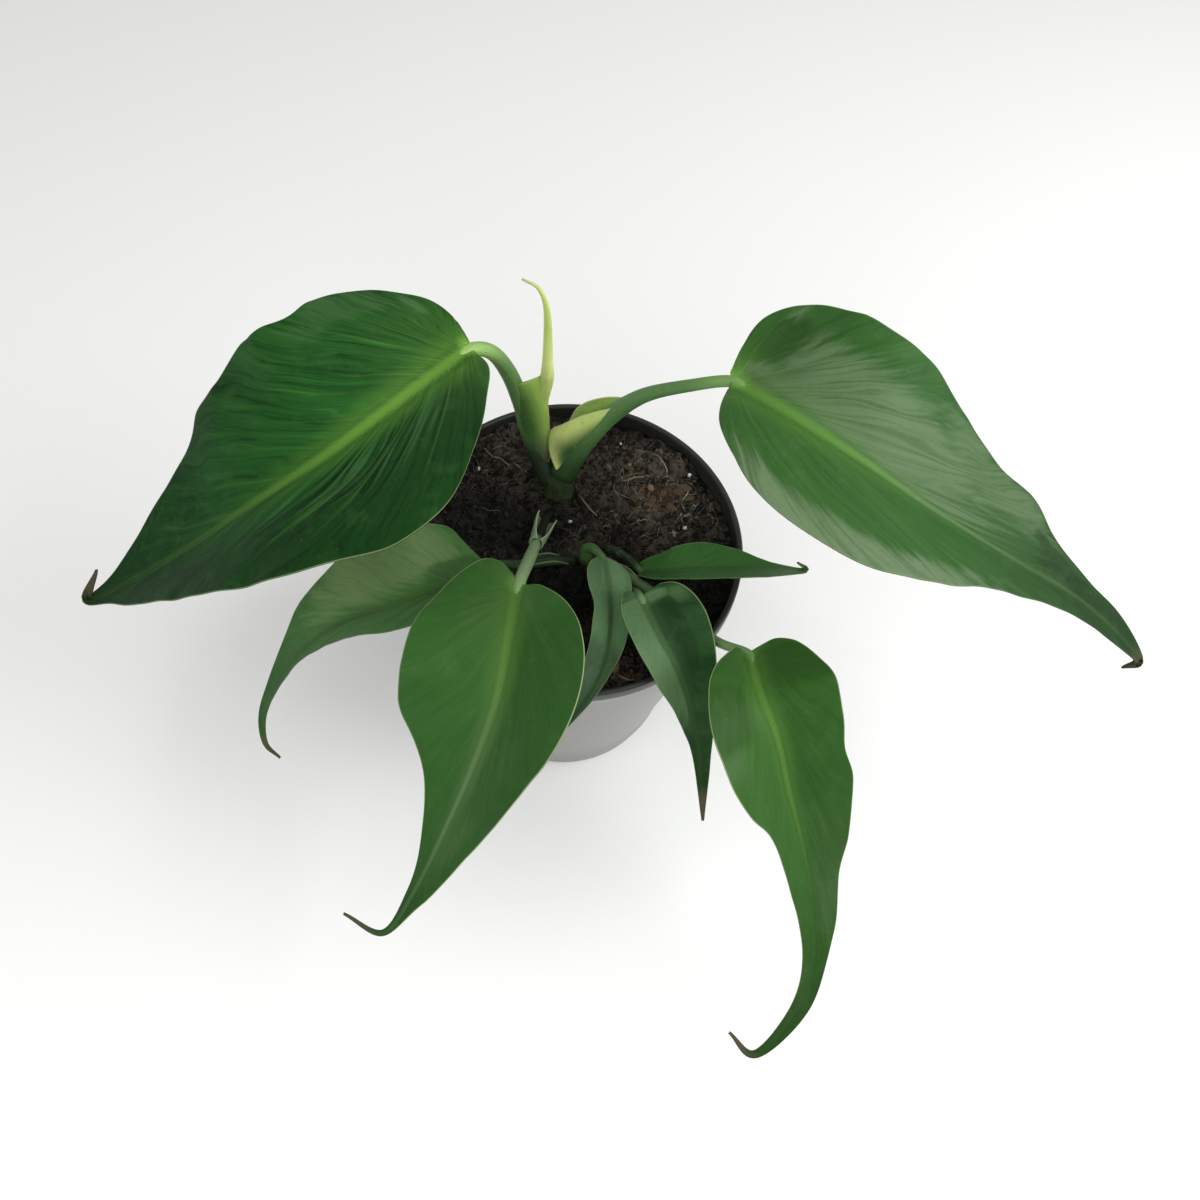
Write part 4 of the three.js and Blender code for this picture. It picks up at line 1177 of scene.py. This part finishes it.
# Lumps: how many are scattered, or where they lie, then their sizes along, across and up, how far they stand
# out of the soil as a share of their height, and how steeply they lean.
lumpSettings = {
    "soil_crumbs": {
        "count": 2600, "smallest": (0.5, 0.5, 0.4), "largest": (2.3, 1.8, 1.3), "sink": 0.15, "tilt": 1.2,
        "seed": 31, "paint": "crumb_peat",
    },
    "bark_bits": {
        "count": 560, "smallest": (1.0, 0.6, 0.25), "largest": (4.4, 2.0, 0.8), "sink": 0.3, "tilt": 0.7,
        "seed": 32, "paint": "bark_brown",
    },
    "bark_chips": {
        "places": [
            (30, 27), (26, 23), (33, 22), (25, 29), (37, 30), (39, 26), (35, 27), (-2, 30), (20, -44),
            (16, 36),
        ],
        "smallest": (4.0, 2.2, 0.8), "largest": (8.5, 3.8, 1.5), "sink": 0.75, "tilt": 0.6, "seed": 36,
        "paint": "bark_tan", "subdivisions": 2,
    },
    "perlite_grains": {
        "places": [
            (38.7, 36.8), (-2.2, 7.8), (39, 14.5), (-38, 27), (12, 47), (-21, -30), (30, -38), (50, 8),
        ],
        "smallest": (1.0, 0.9, 0.8), "largest": (2.6, 2.2, 1.8), "sink": 0.3, "tilt": 1.0, "seed": 33,
        "paint": "perlite_white", "subdivisions": 2,
    },
}

# Strands of coir and root: length and radius are from least to most.
fibreSettings = {
    "coir_fibres": {
        "count": 2600, "length": (1.5, 7.5), "radius": (0.06, 0.14), "curl": 0.3, "lift": 0.6, "steps": 8,
        "sides": 4, "seed": 34, "paint": "coir_straw",
    },
    "fine_roots": {
        "count": 5, "length": (8, 18), "radius": (0.12, 0.22), "curl": 0.8, "lift": 0.9, "steps": 20,
        "sides": 6, "seed": 35, "paint": "root_pale",
    },
}

rootPaths = [
    [(-1.5, 22), (0.5, 18.5), (4, 14.5), (8, 11.5)], [(24, 44), (27, 43), (30, 39), (30.5, 37)],
    [(37, 34), (38.5, 31), (38.5, 28), (37, 25)], [(20, -46.5), (22, -48), (25, -48.6), (27, -47.5)],
    [(-38, 36), (-34, 33), (-31, 32.5), (-27, 29)], [(12, 30), (16, 31), (19, 34), (24, 34)],
]


def scramble(x, y, seed):
    return np.abs(np.sin(x * 127.1 + y * 311.7 + seed * 74.7) * 43758.5453) % 1


def smoothNoise(x, y, size, seed):
    # A random value at each corner of a square net, blended smoothly between the corners.
    i, j = np.floor(x / size), np.floor(y / size)
    u, v = x / size - i, y / size - j
    u, v = u * u * (3 - 2 * u), v * v * (3 - 2 * v)
    low = scramble(i, j, seed) * (1 - u) + scramble(i + 1, j, seed) * u
    high = scramble(i, j + 1, seed) * (1 - u) + scramble(i + 1, j + 1, seed) * u
    return low * (1 - v) + high * v


def crumbs(x, y, size, seed):
    # Round lumps of varied height, one in each cell of a net: the highest that covers the point.
    best = np.zeros_like(x)
    for di in (-1, 0, 1):
        for dj in (-1, 0, 1):
            i, j = np.floor(x / size) + di, np.floor(y / size) + dj
            centreX = (i + scramble(i, j, seed)) * size
            centreY = (j + scramble(i, j, seed + 1)) * size
            reach = size * (0.45 + 0.4 * scramble(i, j, seed + 2))
            share = np.hypot(x - centreX, y - centreY) / reach
            lump = np.sqrt(np.clip(1 - share**2, 0, 1)) * (0.3 + 0.7 * scramble(i, j, seed + 3))
            best = np.maximum(best, lump)
    return best


def soilHeight(x, y):
    soil = soilSettings
    edge = np.hypot(x, y) / (wallRadiusAt(soil["edgeHeight"]) - potSettings["wall"])
    distance = np.hypot(x, y - soil["moundY"]) / soil["moundRadius"]
    height = soil["edgeHeight"] + soil["tilt"] * (y - x) + soil["moundHeight"] * np.exp(-distance**2)
    waves = np.sin(x / 4 + y / 9) + np.sin(y / 5 - x / 11) + np.sin((x + y) / 3)
    height = height + soil["ripple"] * waves * (1 - np.clip(edge, 0, 1) ** 4)
    for tall, size, seed in soil["swells"]:
        height = height + tall * (smoothNoise(x, y, size, seed) - 0.5)
    warpX, warpY = x + 1.2 * smoothNoise(x, y, 2.2, 7), y + 1.2 * smoothNoise(x, y, 2.4, 8)
    for number, (size, tall) in enumerate(soil["crumbs"]):
        height = height + tall * (crumbs(warpX, warpY, size, 20 + 5 * number) - 0.45)
    return height + 0.3 * (smoothNoise(x, y, 0.7, 11) - 0.5)


def makeSoil(paint):
    # A square net is bent into a disc, so that its cells stay even: x = u * sqrt(1 - v^2 / 2) and the like.
    count = soilSettings["grid"]
    radius = wallRadiusAt(soilSettings["edgeHeight"]) - potSettings["wall"] - 0.4
    u, v = np.meshgrid(np.linspace(-1, 1, count), np.linspace(-1, 1, count), indexing="xy")
    x, y = radius * u * np.sqrt(1 - v**2 / 2), radius * v * np.sqrt(1 - u**2 / 2)
    top = np.stack([x, y, soilHeight(x, y)], -1).reshape(-1, 3)
    border = gridBorder(count, count)
    rings = [top]
    bottom, gap = soilSettings["bottom"]
    levels = [(height, wallRadiusAt(height) - space) for height, space in soilSettings["sideRings"]]
    for height, wide in [*levels, (bottom, potSettings["baseRadius"] - gap)]:
        ring = top[border] * (wide / radius)
        ring[:, 2] = height
        rings.append(ring)
    faces = [gridFaces(count, count)]
    size = len(border)
    loops = [border, *(len(top) + size * k + np.arange(size) for k in range(3))]
    for above, below in zip(loops[:-1], loops[1:]):
        faces.append(np.column_stack([above, below, np.roll(below, -1), np.roll(above, -1)]))
    pole = len(top) + 3 * size
    faces.append(np.column_stack([np.full(size, pole), np.roll(loops[-1], -1), loops[-1]]))
    points = np.concatenate([*rings, [[0, 0, bottom]]])
    shell = makeShell(points, faces, 0, (0, 0, 0), (0, 0, 0))
    makePiece("soil_bed", [shell], [paint], ["soil"])


def ballPoints(subdivisions):
    ball = bmesh.new()
    bmesh.ops.create_icosphere(ball, subdivisions=subdivisions, radius=1)
    points = np.array([vertex.co for vertex in ball.verts])
    faces = np.array([[vertex.index for vertex in face.verts] for face in ball.faces])
    ball.free()
    return points, faces


def scatterPlaces(count, random):
    # Evenly over the disc.
    radius = (wallRadiusAt(soilSettings["edgeHeight"]) - 4) * np.sqrt(random.random(count))
    angle = random.random(count) * 2 * np.pi
    return radius * np.cos(angle), radius * np.sin(angle)


def makeScattered(name, points, groups, random, material):
    # Many copies with the same faces: points by copy and by point, and three random values for each copy.
    count, size, _ = points.shape
    shift = size * np.arange(count)[:, None, None]
    faces = [(group + shift).reshape(-1, group.shape[1]) for group in groups]
    shade = np.repeat(random.random((count, 3)), size, 0)
    shell = makeShell(points.reshape(-1, 3), faces, 0, shade, shade)
    makePiece(name, [shell], [material])


def turned(a, b, angle):
    # Two coordinates turned by an angle for each copy.
    c, s = np.cos(angle)[:, None], np.sin(angle)[:, None]
    return a * c - b * s, a * s + b * c


def makeLumps(name, lump, places, material):
    # Copies of a ball, each squeezed, roughened and turned in its own way, and set on the soil.
    random = np.random.default_rng(lump["seed"])
    ball, faces = ballPoints(lump.get("subdivisions", 1))
    x, y = places
    count = len(x)
    low, high = np.array(lump["smallest"], float), np.array(lump["largest"], float)
    scale = low + (high - low) * random.random((count, 3)) ** 1.6
    points = ball[None] * (1 + 0.35 * (random.random((count, len(ball), 1)) - 0.5)) * scale[:, None] / 2
    turn, lean = random.random(count) * 2 * np.pi, lump["tilt"] * (random.random(count) - 0.5)
    px, pz = turned(points[..., 0], points[..., 2], lean)
    px, py = turned(px, points[..., 1], turn)
    base = soilHeight(x, y) + scale[:, 2] * lump["sink"]
    points = np.stack([px + x[:, None], py + y[:, None], pz + base[:, None]], -1)
    makeScattered(name, points, [faces], random, material)


def makeFibres(name, fibre, material):
    # Thin tapering strands: a heading that swings by two sines, laid on the soil and lifted in the middle.
    random = np.random.default_rng(fibre["seed"])
    count, steps, length, radius = fibre["count"], fibre["steps"], fibre["length"], fibre["radius"]
    t = np.linspace(0, 1, steps + 1)
    x, y = scatterPlaces(count, random)
    long = length[0] + (length[1] - length[0]) * random.random(count) ** 2
    start = random.random(count) * 2 * np.pi
    swing = fibre["curl"] * (random.random((count, 2)) - 0.5) * [5.0, 3.0]
    heading = start[:, None] + swing[:, :1] * t + swing[:, 1:] * np.sin(5 * t + start[:, None])
    step = (long / steps)[:, None]
    px = x[:, None] + np.cumsum(np.cos(heading), 1) * step
    py = y[:, None] + np.cumsum(np.sin(heading), 1) * step
    limit = wallRadiusAt(soilSettings["edgeHeight"]) - 3.5
    pull = np.minimum(1, limit / np.hypot(px, py))
    px, py = px * pull, py * pull
    thick = radius[0] + (radius[1] - radius[0]) * random.random(count)
    pz = soilHeight(px, py)
    pz = 0.5 * pz + 0.5 * pz.mean(1, keepdims=True) + thick[:, None] * 0.6
    pz = pz + fibre["lift"] * (random.random(count) - 0.15)[:, None] * np.sin(np.pi * t) * 1.6
    centre = np.stack([px, py, pz], -1)
    ahead = unit(np.gradient(centre, axis=1))
    side = unit(np.cross(ahead, [0, 0, 1]))
    angle = np.linspace(0, 2 * np.pi, fibre["sides"], endpoint=False)
    width = thick[:, None] * (0.25 + 0.75 * np.sin(np.pi * (0.08 + 0.84 * t)))
    rings = ringPoints(centre, side, np.cross(side, ahead), width[..., None], angle)
    points = np.concatenate([rings.reshape(count, -1, 3), centre[:, [0, -1]]], 1)
    makeScattered(name, points, tubeFaces(steps, fibre["sides"]), random, material)


# Where painted shade makes the top nearly black, where it is loose and pale, or rusty: centre and half sizes,
# and strength.
paintedShadePlaces = [
    ((-27, 4), (22, 13), 0.9), ((-1, -18), (19, 13), 0.95), ((47, -18), (20, 20), 0.95),
    ((-4, 14), (12, 7), 0.6),
]
palePlaces = [
    ((31, 29), (25, 20), 1.0), ((8, 14), (12, 8), 0.5), ((-30, 34), (13, 11), 0.5),
    ((21, -47), (9, 6), 0.9),
]
rustyPlaces = [((26, 24.5), (10, 6.5), 0.9)]


def inPlaces(paint, where, places):
    # 1 within any of the ellipses and 0 outside, with a ragged border.
    x, y, _ = paint.parts(where)
    ragged = paint.noise(where, 150.0, 4.0, 0.6)
    found = []
    for centre, size, strength in places:
        across, along = (x / mm - centre[0]) / size[0], (y / mm - centre[1]) / size[1]
        apart = (across * across + along * along) ** 0.5 + (ragged - 0.5) * 1.2
        found.append((1 - apart.rise(0.6, 1.25)) * strength)
    return reduce(Wire.larger, found)


def paintSoil():
    soil = soilSettings
    paint = Paint("soil_peat")
    where = paint.objectPlace()
    paintedShade = inPlaces(paint, where, paintedShadePlaces)
    pale = inPlaces(paint, where, palePlaces)
    broad = paint.noise(where, 42.0, 3.0, 0.55)
    middle = paint.noise(where, 330.0, 5.0, 0.65)
    fine = paint.noise(where, 1500.0, 4.0, 0.7)
    # Painted shade: the low parts of the bump, the gaps between crumbs, nearly black.
    colour = paint.mix(middle.rise(0.43, 0.61), soil["groove"], soil["peat"])
    loose = (broad + pale * 0.12).rise(0.45, 0.68) * middle.rise(0.34, 0.62)
    colour = paint.mix(loose * 0.8, colour, soil["loose"])
    colour = paint.mix((1 - broad.rise(0.3, 0.5)) * (1 - pale) * 0.6, colour, (0.006, 0.006, 0.005))
    colour = paint.mix(fine.rise(0.58, 0.74) * (0.3 + pale * 0.3), colour, soil["straw"])
    rusty = inPlaces(paint, where, rustyPlaces) * middle.rise(0.35, 0.6)
    colour = paint.mix(rusty * 0.7, colour, soil["rusty"])
    # Painted shade: nearly black where the leaves and the pot's rim shade the soil.
    colour = paint.mix(paintedShade * 0.85, colour, soil["paintedShade"])
    return paint.finish(colour, 0.92, paint.bump(middle * 1.4 + fine * 0.8, 0.8), Specular_IOR_Level=0.25)


crumbPaints = {
    "crumb_peat": {
        "stops": [
            (0.0, (0.01, 0.01, 0.008)), (0.5, (0.04, 0.034, 0.026)), (0.85, (0.075, 0.061, 0.042)),
            (1.0, (0.15, 0.121, 0.081)),
        ],
    },
    "bark_brown": {
        "stops": [
            (0.0, (0.014, 0.012, 0.01)), (0.5, (0.055, 0.044, 0.031)), (0.85, (0.12, 0.09, 0.058)),
            (1.0, (0.22, 0.176, 0.116)),
        ],
    },
    "bark_tan": {
        "stops": [(0.0, (0.05, 0.034, 0.018)), (0.6, (0.105, 0.07, 0.04)), (1.0, (0.3, 0.22, 0.14))],
    },
    "perlite_white": {
        "stops": [(0.0, (0.5, 0.48, 0.42)), (1.0, (0.78, 0.77, 0.72))], "relief": 0.15, "paintedShadeStrength": 0.1,
    },
    "coir_straw": {
        "stops": [
            (0.0, (0.02, 0.018, 0.014)), (0.4, (0.07, 0.061, 0.044)), (0.75, (0.17, 0.149, 0.116)),
            (1.0, (0.42, 0.396, 0.325)),
        ],
        "relief": 0.1,
    },
    "root_pale": {
        "stops": [(0.0, (0.12, 0.085, 0.05)), (0.6, (0.26, 0.2, 0.13)), (1.0, (0.42, 0.36, 0.26))],
        "relief": 0.1, "paintedShadeStrength": 0.3,
    },
}


def paintCrumb(name):
    # One colour for each lump or strand, by its own random value, finely mottled and darker with painted
    # shade in the shaded places.
    crumb = crumbPaints[name]
    paint = Paint(name)
    own, _, _ = paint.attribute("place")
    where = paint.objectPlace()
    fine = paint.noise(where, 1100.0, 4.0, 0.65)
    pale = inPlaces(paint, where, palePlaces)
    colour = paint.ramp(own * (0.75 + pale * 0.25) + pale * 0.12, crumb["stops"])
    colour = paint.mix(inPlaces(paint, where, rustyPlaces) * 0.4, colour, soilSettings["rusty"])
    colour = paint.mix(fine.rise(0.4, 0.7) * 0.5, colour, (0.010, 0.008, 0.006))
    # Painted shade in the same places, weaker on the perlite and the roots.
    paintedShade = inPlaces(paint, where, paintedShadePlaces) * crumb.get("paintedShadeStrength", 0.8)
    colour = paint.mix(paintedShade, colour, soilSettings["paintedShade"])
    return paint.finish(colour, 0.9, paint.bump(fine, crumb.get("relief", 0.3)), Specular_IOR_Level=0.3)


def makeFloor():
    mesh = bpy.data.meshes.new("floor")
    size, low = 3.0, -0.0002
    corners = [(x * size, y * size, low) for x, y in ((-1, -1), (1, -1), (1, 1), (-1, 1))]
    mesh.from_pydata(corners, [], [(0, 1, 2, 3)])
    floor = bpy.data.objects.new("floor", mesh)
    paint = Paint("floor_pale")
    grain = paint.noise(paint.objectPlace(), 9.0, 2.0)
    pale = studioSettings["floorColour"]
    mesh.materials.append(paint.finish(paint.mix(grain * 0.3, pale, scaled(pale, 0.97)), 0.7))
    scene.collection.objects.link(floor)


def makeWorld():
    world = bpy.data.worlds.new("studio")
    world.use_nodes = True
    background = world.node_tree.nodes["Background"]
    background.inputs["Color"].default_value = (*studioSettings["worldColour"], 1)
    background.inputs["Strength"].default_value = studioSettings["worldStrength"]
    scene.world = world


makeCamera()
makeWorld()
makeFloor()
for lightName in lightSettings:
    makeLight(lightName)
print("studio ready")

stalkPaints = {key: paintStalk(key) for key in stalkColours}
sheathPaints = {key: paintSheath(key) for key in sheathColours}
for number, (name, leaf) in enumerate(leafSettings.items()):
    shells = [bladeShell(leaf, number), stalkShell(leaf)]
    if "sheath" in leaf:
        shells.append(sheathShell(leaf))
    paints = [paintBlade(name, leaf)]
    paints += [ready.get(name, ready[leaf["slot"]]) for ready in (stalkPaints, sheathPaints)]
    makePiece(name.replace("leaf", "plant_leaf"), shells, paints, [name])
print("leaves ready")

rolled = barShell(
    newLeafSettings["path"], newLeafSettings["radius"], 0, sides=48, steps=160,
    across=(0, 1, 0), ridges=rolledEdge,
)
makePiece("rolled_leaf", [rolled], [paintNewLeaf()], ["new_leaf"])
for name, stem in stemSettings.items():
    crown = barShell(stem["path"], stem["radius"], 0, sides=64, steps=90, across=(1, 0, 0), ridges=stemRidges)
    makePiece("crown_of_" + name, [crown], [paintStem(stem)], [name])
print("stems ready")

makePot(paintPotBlack(), paintPotGrey())
makeSoil(paintSoil())
crumbMaterials = {key: paintCrumb(key) for key in crumbPaints}
random = np.random.default_rng(soilSettings["scatterSeed"])
for name, lump in lumpSettings.items():
    places = np.array(lump["places"]).T if "places" in lump else scatterPlaces(lump["count"], random)
    makeLumps(name, lump, places, crumbMaterials[lump["paint"]])
for name, fibre in fibreSettings.items():
    makeFibres(name, fibre, crumbMaterials[fibre["paint"]])
roots = []
for path in rootPaths:
    x, y = np.array(path, float).T
    lift = np.where(np.arange(len(x)) % (len(x) - 1) == 0, -0.1, 0.7)  # the ends go into the soil
    centre = np.stack([x, y, soilHeight(x, y) + lift], -1)
    roots.append(barShell(centre, [0.2, 0.34, 0.3, 0.14], 0, sides=8, steps=24, tint=0.6))
makePiece("pale_roots", roots, [crumbMaterials["root_pale"]])
print("soil ready")
